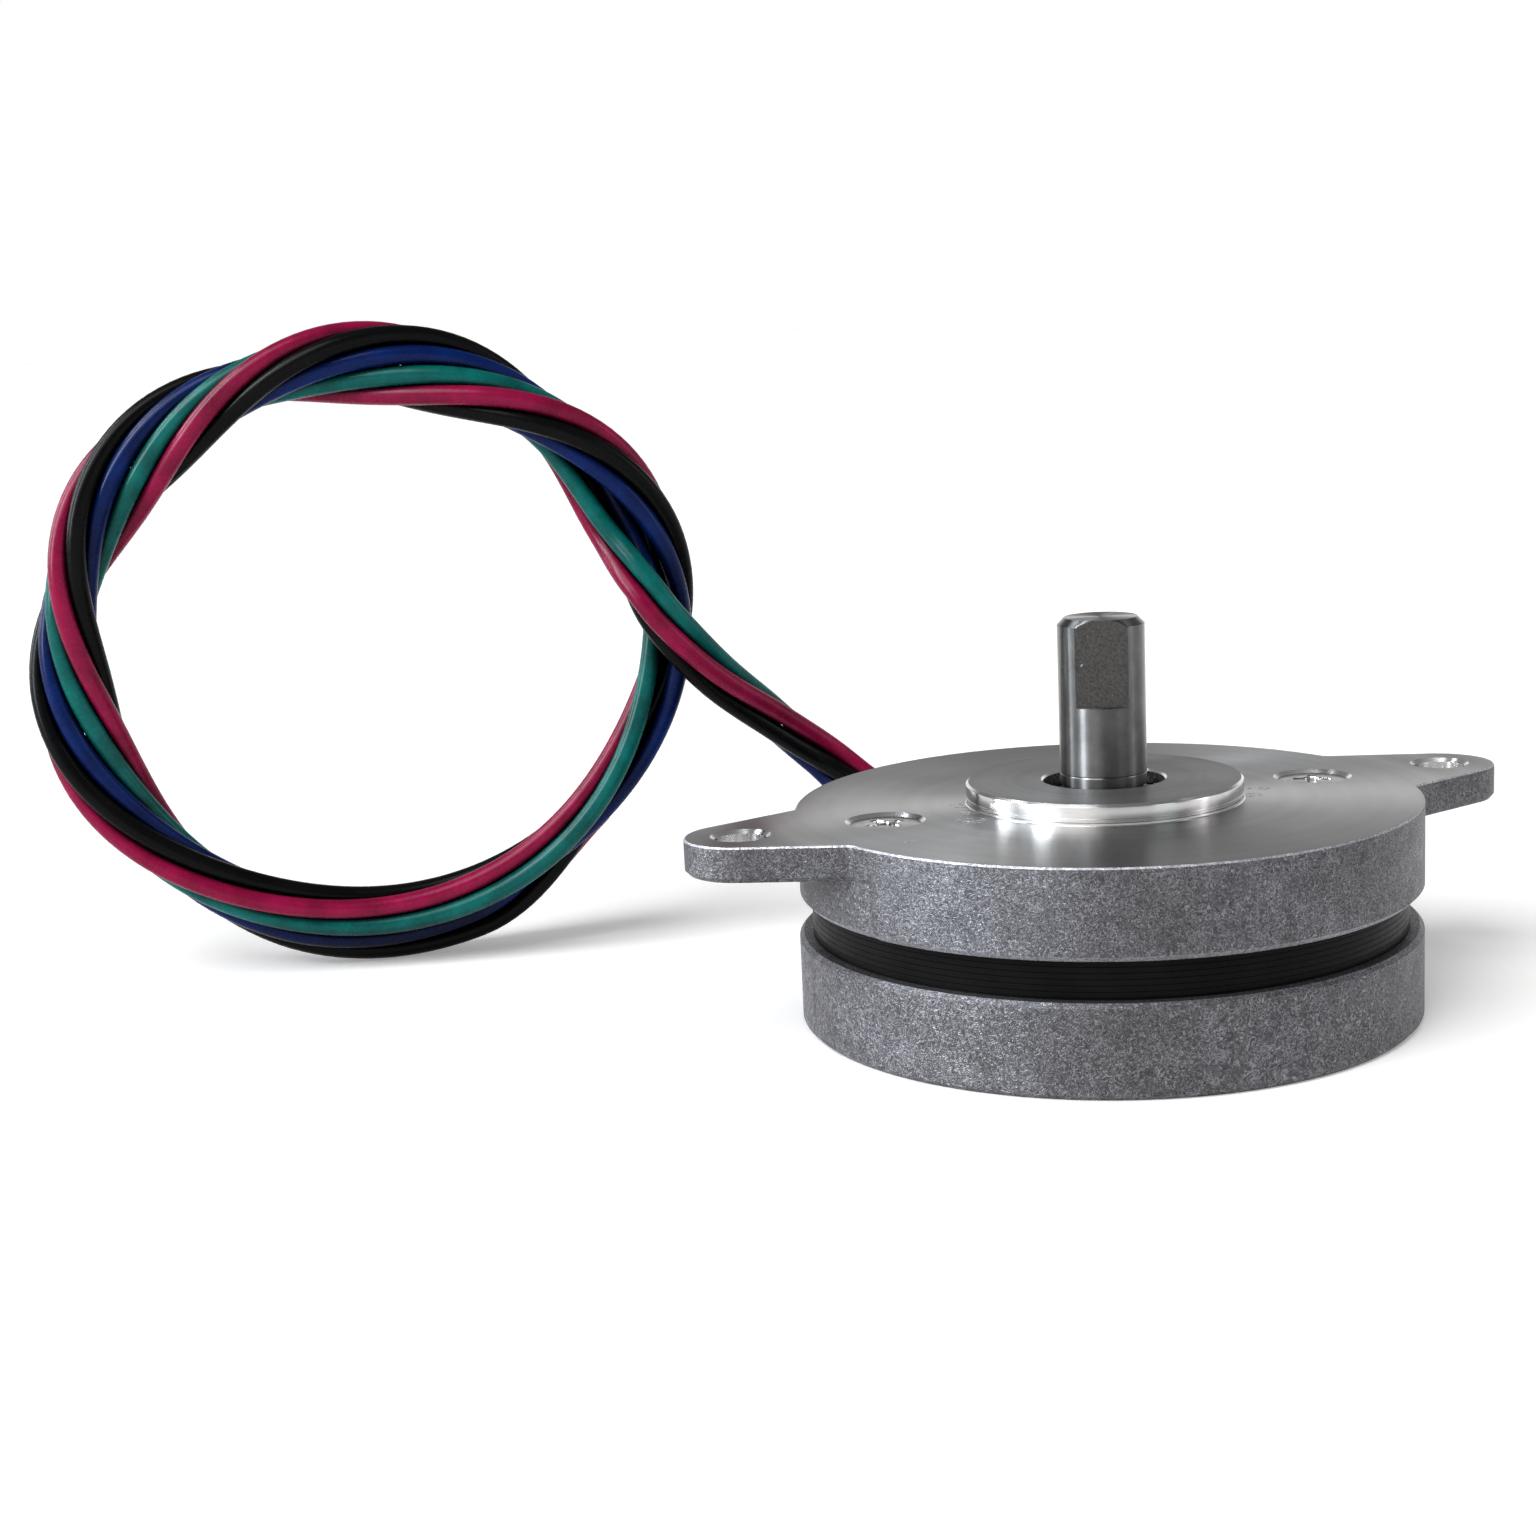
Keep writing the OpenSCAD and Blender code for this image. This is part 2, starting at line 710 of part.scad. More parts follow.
// The bundle's route as a smooth curve through its points
exit_way = [cos(outlet_angle), sin(outlet_angle), 0];
exit_side = [-sin(outlet_angle), cos(outlet_angle), 0];
exit_at = outlet_r * exit_way + lead_z * UP;
route = concat([exit_at + straight_l * exit_way], lead_route, [core(coil_from)]);
route_last = len(route) - 1;
route_before = route[0] - (route[1] - route[0]);
route_after = core(coil_from + 2 * coil_step);
function route_point(k) = k < 0 ? route_before : k > route_last ? route_after : route[k];
function route_at(u) = let (k = min(floor(u), route_last - 1), f = u - k,
        a = route_point(k - 1), b = route_point(k), c = route_point(k + 1), d = route_point(k + 2))
    b + 0.5 * f * (c - a + f * (2 * a - 5 * b + 4 * c - d + f * (3 * (b - c) + d - a)));
function route_way(u) = unit(route_at(min(u + way_step, route_last)) - route_at(max(u - way_step, 0)));

// Lead i on the way from the outlet to the ring: a row, then a bundle, then an arc
run_turn = wrap(coil_from) - 360 * floor(wrap(coil_from) / 360);
function run_spread(k) = k < arc_share ? mix(row_spread, bundle_spread, ease(k / bundle_share))
    : mix(bundle_spread, ring_spread, ease((k - arc_share) / (1 - arc_share)));
function run_top(k) = mix(bundle_top * ease(k / bundle_share), pass_top, ease((k - pass_share) / (1 - pass_share)));
function on_run(i, u) = let (
        k = u / route_last,
        way = route_way(u),
        front = unit(ring_front - (ring_front * way) * way),
        side = cross(way, front),
        pitch = mix(outlet_pitch, lead_pitch, ease(k / pitch_share)),
        p = turned(across(i, pitch, run_spread(k), run_top(k)), run_turn * pow(k, twist_power)))
    route_at(u) + side * p[0] + front * p[1];

// Lead i at step j: the straight way in the outlet, the run, then the coil
coil_count = round((coil_to - coil_from) / coil_step);
lead_count = run_count + coil_count;
function lead_point(i, j) =
    j < 0 ? exit_at + i * outlet_pitch * exit_side - bore_depth * exit_way
    : j <= run_count ? on_run(i, route_last * j / run_count)
    : on_ring(i, coil_from + (j - run_count) * coil_step);
function lead_way(i, j) = j < 0 ? exit_way
    : unit(lead_point(i, min(j + 1, lead_count)) - lead_point(i, max(j - 1, -1)));

// A round tube through lead i's points from step a to step b
module lead_tube(i, a, b, sides) {
    steps = b - a;
    points = [for (j = [a : b]) let (
            way = lead_way(i, j),
            front = unit(ring_front - (ring_front * way) * way),
            side = cross(way, front))
        for (k = [0 : sides - 1]) lead_point(i, j)
            + wire_d / 2 * (cos(k * 360 / sides) * front + sin(k * 360 / sides) * side)];
    walls = [for (j = [0 : steps - 1]) for (k = [0 : sides - 1]) let (
            p = j * sides + k, q = j * sides + (k + 1) % sides)
        for (f = [[p, q + sides, q], [p, p + sides, q + sides]]) f];
    caps = [[for (k = [0 : sides - 1]) k], [for (k = [sides - 1 : -1 : 0]) steps * sides + k]];
    polyhedron(points, concat(walls, caps));
}

module lead_run(i) {
    lead_tube(i, -1, run_count, run_sides);
}

module lead_coil(i) {
    lead_tube(i, run_count, lead_count, coil_sides);
}

module lead_black_run() {
    color("#17171a") lead_run(BLACK);
}

module lead_green_run() {
    color("#0b6e60") lead_run(GREEN);
}

module lead_blue_run() {
    color("#12306e") lead_run(BLUE);
}

module lead_red_run() {
    color("#a31f4b") lead_run(RED);
}

module lead_black_coil() {
    color("#17171a") lead_coil(BLACK);
}

module lead_green_coil() {
    color("#0b6e60") lead_coil(GREEN);
}

module lead_blue_coil() {
    color("#12306e") lead_coil(BLUE);
}

module lead_red_coil() {
    color("#a31f4b") lead_coil(RED);
}

// The stripped and tinned ends of the four leads
module lead_tips() {
    color("#c4c6c8") for (i = LEADS) {
        way = lead_way(i, lead_count);
        translate(lead_point(i, lead_count)) rotate([0, acos(way[2]), atan2(way[1], way[0])])
            cylinder(d = tip_d, h = tip_l, $fn = small_fn);
    }
}

// Least gap between the two passes of one lead, and their lowest point, measured on points
half_loop = 180;
test_step = coil_step / 2;
self_gaps = [for (i = LEADS) for (t = [coil_from : test_step : coil_to - half_loop])
    for (s = [t + half_loop : test_step : min(t + 3 * half_loop, coil_to)])
        norm(on_ring(i, t) - on_ring(i, s)) - wire_d];
echo(str("Least gap of a lead's coil to itself: ", min(self_gaps), " mm"));
lowest = min([for (i = LEADS) for (t = [coil_from : test_step : coil_to])
    on_ring(i, t)[2]]) - wire_d / 2;
echo(str("Lowest point of the leads: ", lowest, " mm"));

front_cover();
rear_cover();
stator_laminations();
front_insulator();
rear_insulator();
phase_a_windings();
phase_b_windings();
cover_screws();
lead_outlet();
wave_washer();
front_outer_ring();
front_inner_ring();
front_balls();
front_ball_cage();
front_shields();
rear_outer_ring();
rear_inner_ring();
rear_balls();
rear_ball_cage();
rear_shields();
shaft();
rotor_cup_front();
rotor_cup_rear();
rotor_magnet();
front_spacer();
rear_spacer();
lead_black_run();
lead_green_run();
lead_blue_run();
lead_red_run();
lead_black_coil();
lead_green_coil();
lead_blue_coil();
lead_red_coil();
lead_tips();
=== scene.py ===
# %% [markdown]
# # A round pancake stepper motor with four loose leads
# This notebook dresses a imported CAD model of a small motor. The CAD model is the
# frame: it holds every size and every joint. Here each part gets the finish of the
# real one: blasted castings, a turned face, a ground shaft, black laminations and
# glossy insulated leads. New pieces are surfaces worked out with numpy, as whole
# arrays, so that their shape can be read as a formula.

# %% Load the frame
import json
import bmesh
import bpy
import numpy as np
from mathutils import Matrix


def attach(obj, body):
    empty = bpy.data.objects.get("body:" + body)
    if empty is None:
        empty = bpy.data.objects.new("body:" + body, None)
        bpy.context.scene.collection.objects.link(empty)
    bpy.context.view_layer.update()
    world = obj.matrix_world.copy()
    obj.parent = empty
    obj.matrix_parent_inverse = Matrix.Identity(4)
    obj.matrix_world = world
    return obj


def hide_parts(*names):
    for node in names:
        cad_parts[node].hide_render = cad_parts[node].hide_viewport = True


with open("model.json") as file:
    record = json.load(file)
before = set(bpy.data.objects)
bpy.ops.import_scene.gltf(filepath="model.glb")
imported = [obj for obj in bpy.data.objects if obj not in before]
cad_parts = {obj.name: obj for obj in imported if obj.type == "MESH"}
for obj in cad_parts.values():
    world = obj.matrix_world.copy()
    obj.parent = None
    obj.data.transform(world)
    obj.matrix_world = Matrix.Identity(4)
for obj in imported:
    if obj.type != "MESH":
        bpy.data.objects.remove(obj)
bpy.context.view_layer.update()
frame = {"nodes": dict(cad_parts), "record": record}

# %% [markdown]
# ## The camera
# A pinhole camera was fitted to the photograph once, by the rims of the covers, the
# shaft and the ears. The result is three directions, a place and a focal length. The
# directions are rounded, so they are made exactly square to each other again.

# %% The camera
MM = 0.001
LOOK_RIGHT = (0.96147, -0.27105, -0.04584)
LOOK_UP = (0.09291, 0.16346, 0.98217)
LOOK_FORWARD = (0.25872, 0.94859, -0.18234)
CAMERA_PLACE = (-54.444, -125.802, 40.237)
LENS_MM, SENSOR_MM = 55.88, 36.0
CLIP_NEAR, CLIP_FAR = 0.005, 20.0


def add_object(name, data):
    """A new object at the origin, linked to the scene."""
    made = bpy.data.objects.new(name, data)
    bpy.context.scene.collection.objects.link(made)
    return made


def pose(columns, place):
    """A 4 by 4 matrix from three unit vectors, which are an array's columns, and a place."""
    matrix = np.eye(4)
    matrix[:3, :3] = columns
    matrix[:3, 3] = place
    return Matrix(matrix.tolist())


camera_data = bpy.data.cameras.new("camera")
camera_data.lens, camera_data.sensor_width = LENS_MM, SENSOR_MM
camera_data.clip_start, camera_data.clip_end = CLIP_NEAR, CLIP_FAR
camera = add_object("camera", camera_data)
looks = np.array([LOOK_RIGHT, LOOK_UP, [-v for v in LOOK_FORWARD]]).T
square, _ = np.linalg.qr(looks)
square = square * np.sign(np.sum(square * looks, axis=0))
camera.matrix_world = pose(square, np.array(CAMERA_PLACE) * MM)
bpy.context.scene.camera = camera
print("camera at", [round(v, 4) for v in camera.location])

# %% [markdown]
# ## Helpers for surfaces
# Every new piece is a grid of points: rows along one parameter and columns along
# the other. One helper lists a grid's faces, one joins several grids, and one makes
# the mesh. A grid that closes on itself has its last row or column joined to its
# first. Points within a micrometre of each other are merged, which closes the poles.

# %% Helpers for grids and meshes
SEAM, CUTTER_SEAM = 0.0008 * MM, 0.001 * MM
SHARP, TUBE_SHARP, SCREW_SHARP = 25.0, 60.0, 40.0


def grid_faces(rows, columns, close_rows=False, close_columns=True):
    """Quads of a grid: each joins a point, its right neighbour and the two above them."""
    r = np.arange(rows if close_rows else rows - 1)[:, None]
    c = np.arange(columns if close_columns else columns - 1)[None, :]
    up, right = (r + 1) % rows, (c + 1) % columns
    quads = [r * columns + c, r * columns + right, up * columns + right, up * columns + c]
    return np.stack(np.broadcast_arrays(*quads), axis=-1).reshape(-1, 4)


def joined(parts):
    """Several pairs of points and faces as one pair: each part's faces count on from the last's."""
    points, faces, offset = [], [], 0
    for grid, quads in parts:
        points.append(grid.reshape(-1, 3))
        faces.append(quads + offset)
        offset += len(points[-1])
    return np.vstack(points), np.vstack(faces)


def make_mesh(name, points, faces, finish_of_face=None, seam=SEAM):
    """A mesh from arrays of points and quads, in which points closer than the seam are merged."""
    mesh = bpy.data.meshes.new(name)
    mesh.from_pydata(points.reshape(-1, 3).tolist(), [], faces.tolist())
    if finish_of_face is not None:
        mesh.polygons.foreach_set("material_index", finish_of_face.astype(np.int32))
    work = bmesh.new()
    work.from_mesh(mesh)
    bmesh.ops.remove_doubles(work, verts=work.verts, dist=seam)
    bmesh.ops.dissolve_degenerate(work, edges=work.edges, dist=seam)
    bmesh.ops.recalc_face_normals(work, faces=work.faces)
    work.to_mesh(mesh)
    work.free()
    return mesh


def smooth(mesh, sharp_degrees=SHARP):
    """Smooth shading, broken at edges that bend by more than the angle."""
    mesh.polygons.foreach_set("use_smooth", np.ones(len(mesh.polygons), bool))
    mesh.set_sharp_from_angle(angle=np.radians(sharp_degrees))
    mesh.update()


def make_piece(name, points, faces, body="motor", sharp_degrees=SHARP, finish_of_face=None):
    """A smooth object at the origin that rides on one body of the frame."""
    mesh = make_mesh(name, points, faces, finish_of_face)
    smooth(mesh, sharp_degrees)
    piece = add_object(name, mesh)
    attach(piece, body)
    print(name, "has", len(mesh.polygons), "faces")
    return piece


# %% [markdown]
# ## The leads' route
# Four insulated wires leave a block at the back of the motor side by side, close up
# into a twisted bundle and run to a ring that stands on its edge. In the ring they
# go round one and three quarter times, and the two passes wrap round each other like
# two plies of a rope. A simulation could drop them, but then the order of the colours
# would be left to chance, so the route is a formula. The ring is the CAD model's, and
# the run to it lies up to 1.5 mm from the CAD's.

# %% The leads' sizes and the ring
WIRE = 1.2 * MM
UP = np.array([0.0, 0.0, 1.0])
RING_TURN = np.radians(-12)
RING_ALONG = np.array([np.cos(RING_TURN), np.sin(RING_TURN), 0.0])
RING_FRONT = np.array([np.sin(RING_TURN), -np.cos(RING_TURN), 0.0])
RING_RX, RING_RZ, RING_REST = 19.1 * MM, 18.2 * MM, 2.7 * MM
RING_AT = np.array([-38.7 * MM, 28.1 * MM, RING_RZ + RING_REST])
COIL_FROM, COIL_TO = 50.0, 678.0
WRAPS, WRAP_START, WRAP_MID = 2.5, 178.0, 105.0
SWING_SHARE, FLAT_SHARE = 0.5, 0.2
PLACES = {"green": -1.5, "red": -0.5, "black": 0.5, "blue": 1.5}


def sind(degrees):
    return np.sin(np.radians(degrees))


def cosd(degrees):
    return np.cos(np.radians(degrees))


def unit(v):
    return v / np.linalg.norm(v, axis=-1, keepdims=True)


def ease(k):
    """Nought below 0 and one above 1, with a smooth climb between."""
    c = np.clip(k, 0.0, 1.0)
    return c * c * (3 - 2 * c)


def mix(a, b, k):
    return a + (b - a) * k


def core(t):
    """Middle of the ring's two passes at angle t: a point on an ellipse."""
    return RING_AT + RING_RX * cosd(t)[:, None] * RING_ALONG + RING_RZ * sind(t)[:, None] * UP


def outwards(t):
    """Unit vector away from the ring's middle, square to the ellipse at angle t."""
    return unit(RING_RZ * cosd(t)[:, None] * RING_ALONG + RING_RX * sind(t)[:, None] * UP)


def wrap(t):
    """How far the passes have turned round each other at angle t; a slow sine slackens them."""
    swing = SWING_SHARE * sind(t - WRAP_MID) - FLAT_SHARE / 2 * sind(2 * (t - WRAP_MID))
    return WRAP_START + WRAPS * (t + np.degrees(swing))


print("the ring is", round(2 * RING_RX / MM, 1), "by", round(2 * RING_RZ / MM, 1),
      "mm along its core")

# %% [markdown]
# Across the bundle the four wires lie on an arc, one pitch apart. The arc's own
# radius follows from the pitch and the angle between two neighbours, and the top of
# the arc lies at a chosen distance from the bundle's middle. A spread of half a
# degree is as good as a straight row. At its end the bundle is tucked back and in,
# behind the ring's lower part.

# %% Where each wire lies across the bundle
LEAD_PITCH, OUTLET_PITCH = 1.28 * MM, 1.35 * MM
RING_SPREAD, BUNDLE_SPREAD, ROW_SPREAD = 75.0, 90.0, 0.5
PASS_OFFSET = 1.05 * MM
TUCK_FROM, TUCK_OVER, TUCK_BACK = 608.0, 60.0, 4.2 * MM
TUCK_IN_FROM, TUCK_IN_OVER, TUCK_IN = 646.0, 30.0, 1.8 * MM


def arc_r(pitch, spread):
    """Radius of an arc whose neighbours are one pitch apart and one spread angle round."""
    return pitch / (2 * sind(spread / 2))


def across(i, pitch, spread, top):
    """Two coordinates of wire i on the arc, with the arc's top at the distance given."""
    r = arc_r(pitch, spread)
    outward = top + r * (cosd(i * spread) - 1)
    return np.stack(np.broadcast_arrays(outward, r * sind(i * spread)), axis=-1)


def turned(p, degrees):
    """Two coordinates turned by an angle."""
    c, s = cosd(degrees), sind(degrees)
    return np.stack([p[:, 0] * c - p[:, 1] * s, p[:, 0] * s + p[:, 1] * c], axis=-1)


BUNDLE_TOP = arc_r(LEAD_PITCH, BUNDLE_SPREAD)
PASS_TOP = PASS_OFFSET + arc_r(LEAD_PITCH, RING_SPREAD)


def on_ring(i, t):
    """Wire i in the ring: the core plus its turned place, with the last of it tucked behind."""
    place = np.broadcast_to(across(i, LEAD_PITCH, RING_SPREAD, PASS_TOP), (len(t), 2))
    p = turned(place, wrap(t))
    out = p[:, 0] - TUCK_IN * ease((t - TUCK_IN_FROM) / TUCK_IN_OVER)
    forward = p[:, 1] - TUCK_BACK * ease((t - TUCK_FROM) / TUCK_OVER)
    return core(t) + outwards(t) * out[:, None] + RING_FRONT * forward[:, None]


print("a pass is", round(PASS_TOP / MM, 2), "mm from the ring's core to its outermost wire")

# %% [markdown]
# Between the outlet and the ring the bundle follows listed points, joined by a
# smooth spline through all of them. On the way the row of wires folds into a bundle
# and the bundle opens into the ring's arc. The shares say how much of the way each
# change takes.

# %% The run from the outlet to the ring
OUTLET_ANGLE, OUTLET_R, LEAD_Z = 106.0, 18 * MM, 9.3 * MM
BORE_DEPTH, STRAIGHT = 1.6 * MM, 1.2 * MM
EXIT_WAY = np.array([cosd(OUTLET_ANGLE), sind(OUTLET_ANGLE), 0.0])
EXIT_SIDE = np.array([-sind(OUTLET_ANGLE), cosd(OUTLET_ANGLE), 0.0])
EXIT_AT = OUTLET_R * EXIT_WAY + LEAD_Z * UP
HAND_POINTS = np.array([
    [-6.2, 20.7, 9.3], [-7.6, 23.0, 10.0], [-9.9, 24.4, 12.0], [-13.2, 24.0, 14.9],
    [-16.8, 23.0, 18.3], [-19.7, 22.3, 22.2], [-21.0, 22.8, 25.2], [-22.6, 24.2, 28.6],
]) * MM
PITCH_SHARE, BUNDLE_SHARE, ARC_SHARE, PASS_SHARE, TWIST_POWER = 0.25, 0.33, 0.5, 0.17, 1.3
WAY_STEP, NEXT_STEP = 0.02, 24.0
BORE_POINTS, RUN_POINTS, COIL_STEP = 4, 70, 2.0

ring_start, ring_next = core(np.array([COIL_FROM, COIL_FROM + NEXT_STEP]))
route = np.vstack([EXIT_AT + STRAIGHT * EXIT_WAY, HAND_POINTS, ring_start])
LAST = len(route) - 1
guides = np.vstack([2 * route[0] - route[1], route, ring_next])


def route_at(u):
    """Catmull-Rom spline through the route: each piece is a cubic of the four points about it."""
    k = np.minimum(np.floor(u), LAST - 1).astype(int)
    f = (u - k)[:, None]
    a, b, c, d = (guides[k + n] for n in range(4))
    return b + 0.5 * f * (c - a + f * (2 * a - 5 * b + 4 * c - d + f * (3 * (b - c) + d - a)))


def on_run(i, u):
    """Wire i on the run: the route plus its place across the bundle, which turns as it goes."""
    k = u / LAST
    ahead, behind = np.minimum(u + WAY_STEP, LAST), np.maximum(u - WAY_STEP, 0)
    way = unit(route_at(ahead) - route_at(behind))
    front = unit(RING_FRONT - (way @ RING_FRONT)[:, None] * way)
    side = np.cross(way, front)
    pitch = mix(OUTLET_PITCH, LEAD_PITCH, ease(k / PITCH_SHARE))
    early = mix(ROW_SPREAD, BUNDLE_SPREAD, ease(k / BUNDLE_SHARE))
    late = mix(BUNDLE_SPREAD, RING_SPREAD, ease((k - ARC_SHARE) / (1 - ARC_SHARE)))
    spread = np.where(k < ARC_SHARE, early, late)
    opened = ease((k - PASS_SHARE) / (1 - PASS_SHARE))
    top = mix(BUNDLE_TOP * ease(k / BUNDLE_SHARE), PASS_TOP, opened)
    twist = wrap(np.array([COIL_FROM])) % 360
    p = turned(across(i, pitch, spread, top), twist * k ** TWIST_POWER)
    return route_at(u) + side * p[:, :1] + front * p[:, 1:]


def lead_line(i):
    """Wire i from the bottom of its bore to its stripped end, as closely spaced points."""
    depth = np.linspace(-BORE_DEPTH, 0.0, BORE_POINTS)[:, None]
    bore = depth * EXIT_WAY + EXIT_AT + i * OUTLET_PITCH * EXIT_SIDE
    run = on_run(i, np.linspace(0, LAST, RUN_POINTS))
    coil = on_ring(i, np.arange(COIL_FROM, COIL_TO + COIL_STEP / 2, COIL_STEP)[1:])
    return np.vstack([bore, run, coil])


lead_lines = {colour: lead_line(i) for colour, i in PLACES.items()}
for colour, line in lead_lines.items():
    length = np.linalg.norm(np.diff(line, axis=0), axis=1).sum()
    print(colour, "lead is", round(length / MM, 1), "mm long")

# %% [markdown]
# ## A tube along a line
# A round tube needs a frame at each point: the way along, and two directions across
# it. Carrying one direction along from ring to ring, with no turn of its own, keeps
# the tube free of twists. The leads are shown 5 % thicker than they are: soft
# insulation is pressed together where wires touch, and this closes the slits.

# %% The leads
ASKEW = UP + 0.3 * RING_FRONT  # a direction that no lead starts or ends along
RIM_LENGTH, RIM_R, POLE_R = 0.12, 0.86, 0.001  # shares of the tube's radius
SAME_PLACE = 1e-9


def carried_frames(line):
    """At each point two directions across the line, which turn only as the line bends."""
    way = unit(np.gradient(line, axis=0))
    first = unit(np.cross(way[0], ASKEW))
    across_way = np.empty_like(way)
    for j in range(len(way)):
        first = unit(first - (first @ way[j]) * way[j])
        across_way[j] = first
    return across_way, np.cross(way, across_way)


def tube(line, radius, sides):
    """Rings of points: the line plus each radius times the cosine and sine of the angle round it.
    Where points coincide, as at a closed end, the frames come from the line without the copies."""
    keep = np.r_[True, np.linalg.norm(np.diff(line, axis=0), axis=1) > SAME_PLACE]
    one, two = carried_frames(line[keep])
    index = np.cumsum(keep) - 1
    angle = 2 * np.pi * np.arange(sides)[None, :, None] / sides
    rings = np.cos(angle) * one[index][:, None, :] + np.sin(angle) * two[index][:, None, :]
    return line[:, None, :] + radius[:, None, None] * rings


def closed_tube(name, line, radius, sides):
    """A tube with a rounded rim at both ends: extra rings of shrinking radius close it."""
    first, last = line[:1], line[-1:]
    rim = RIM_LENGTH * radius * unit(np.stack([line[1] - line[0], line[-2] - line[-1]]))
    line = np.vstack([first, first, first + rim[:1], line[1:-1], last + rim[1:], last, last])
    share = np.ones(len(line))
    share[[0, -1]] = POLE_R
    share[[1, -2]] = RIM_R
    return make_piece(name, tube(line, radius * share, sides), grid_faces(len(line), sides),
                      sharp_degrees=TUBE_SHARP)


LEAD_SIDES = 20
PRESSED = 1.05
leads, tips = {}, {}
for colour, line in lead_lines.items():
    leads[colour] = closed_tube(f"{colour}_lead", line, PRESSED * WIRE / 2, LEAD_SIDES)
    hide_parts(f"lead_{colour}_run", f"lead_{colour}_coil")

# %% [markdown]
# ## The stripped ends
# Under the insulation are fine tinned strands, six of them laid in a slow helix
# round a middle one. Each strand is its own tube, a hair thinner than its share of
# the wire, so that neighbours don't cut into each other.

# %% The stripped ends
TIP_R, TIP_LENGTH = 0.3 * MM, 4 * MM
STRAND_R = TIP_R / 3
TWIST_TURNS = 1.25
OUTER_STRANDS, STRAND_POINTS, STRAND_SIDES = 6, 26, 8
THINNED, STRAND_POLE = 0.98, 0.02


def strand_line(start, way, number):
    """A helix about the wire's way: the last strand is straight, the others turn round it."""
    one = unit(np.cross(way, ASKEW))
    two = np.cross(way, one)
    s = np.linspace(0, 1, STRAND_POINTS)
    angle = 2 * np.pi * (number / OUTER_STRANDS + TWIST_TURNS * s)
    out = 0.0 if number == OUTER_STRANDS else 2 * STRAND_R * THINNED
    circle = np.cos(angle)[:, None] * one + np.sin(angle)[:, None] * two
    return start + s[:, None] * TIP_LENGTH * way + out * circle


def all_strands(colour):
    """The strand tubes of one lead as one array of points and one of faces."""
    line = lead_lines[colour]
    way = unit(line[-1] - line[-2])
    parts = []
    for number in range(OUTER_STRANDS + 1):
        helix = strand_line(line[-1], way, number)
        helix = np.vstack([helix[:1], helix, helix[-1:]])
        radius = np.full(len(helix), STRAND_R * THINNED)
        radius[[0, -1]] = STRAND_R * STRAND_POLE
        parts.append((tube(helix, radius, STRAND_SIDES), grid_faces(len(helix), STRAND_SIDES)))
    return joined(parts)


for colour in PLACES:
    points, faces = all_strands(colour)
    tips[colour] = make_piece(f"{colour}_strands", points, faces, sharp_degrees=TUBE_SHARP)
    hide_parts("lead_tips")

# %% [markdown]

# %% [markdown]
# ## The front cover
# The real cover is one casting: a round cup with two ears in line with its turned
# face, and a boss in the middle. Seen from above its outline is the same distance
# from the shaft in all directions but towards the ears. So it can be made like a
# lathe's work whose radius depends on the angle: one profile, carried round, with
# its outer points following the outline. Over the ears the angles are closer.

# %% The cover's outline
BODY_R = 18 * MM
EAR_X, EAR_R, EAR_T, EAR_TAPER = 21.9 * MM, 3.2 * MM, 2 * MM, 22.0
ROOT_BLEND = 0.25 * MM
FRONT_Z, TOP_Z, BOSS_Z, ROOF_Z = 7.4 * MM, 12.4 * MM, 13.6 * MM, 11.2 * MM
EAR_GONE, EAR_SPAN, EAR_STEP, PLAIN_STEP = 60, 22, 0.25, 1.0


def ear_reach(a):
    """Distance from the shaft to an ear's edge at angle a from its middle line: the round end,
    then the tapered side."""
    side_x, side_y = EAR_X + EAR_R * sind(EAR_TAPER), EAR_R * cosd(EAR_TAPER)
    slope = np.tan(np.radians(EAR_TAPER))
    line = (side_y + side_x * slope) / (sind(a) + slope * cosd(a))
    under = np.clip(EAR_R ** 2 - (EAR_X * sind(a)) ** 2, 0, None)
    end = EAR_X * cosd(a) + np.sqrt(under)
    return np.where(a < np.degrees(np.arctan2(side_y, side_x)), end, line)


def outline(angle):
    """The larger of the body's radius and the ear's reach, with a small blend where they meet."""
    a = np.abs((angle + 90) % 180 - 90)
    ear = np.where(a < EAR_GONE, ear_reach(np.minimum(a, EAR_GONE)), 0)
    close = np.clip(ROOT_BLEND - np.abs(ear - BODY_R), 0, None) / ROOT_BLEND
    return np.maximum(ear, BODY_R) + close ** 2 * ROOT_BLEND / 4


ear_angles = np.arange(-EAR_SPAN, EAR_SPAN, EAR_STEP)
plain_angles = np.arange(EAR_SPAN, 180 - EAR_SPAN, PLAIN_STEP)
COVER_ANGLES = np.concatenate([ear_angles, plain_angles, ear_angles + 180, plain_angles + 180])
COVER_OUTLINE = outline(COVER_ANGLES)
print("the outline reaches", round(COVER_OUTLINE.max() / MM, 2), "mm from the shaft")

# %% [markdown]
# The profile starts at the hole in the boss and goes over the boss, down its
# polished side, across the turned face, over the edge and down the wall, and back
# inside past the seats of the laminations and of the bearing. Each stretch has its
# own finish, so each face carries a number for it: cast, turned, polished, fine, or
# worn where an edge has lost its grain. The boss's side is a list of steps in
# millimetres: its top edge, then a fine line, the groove and the foot.

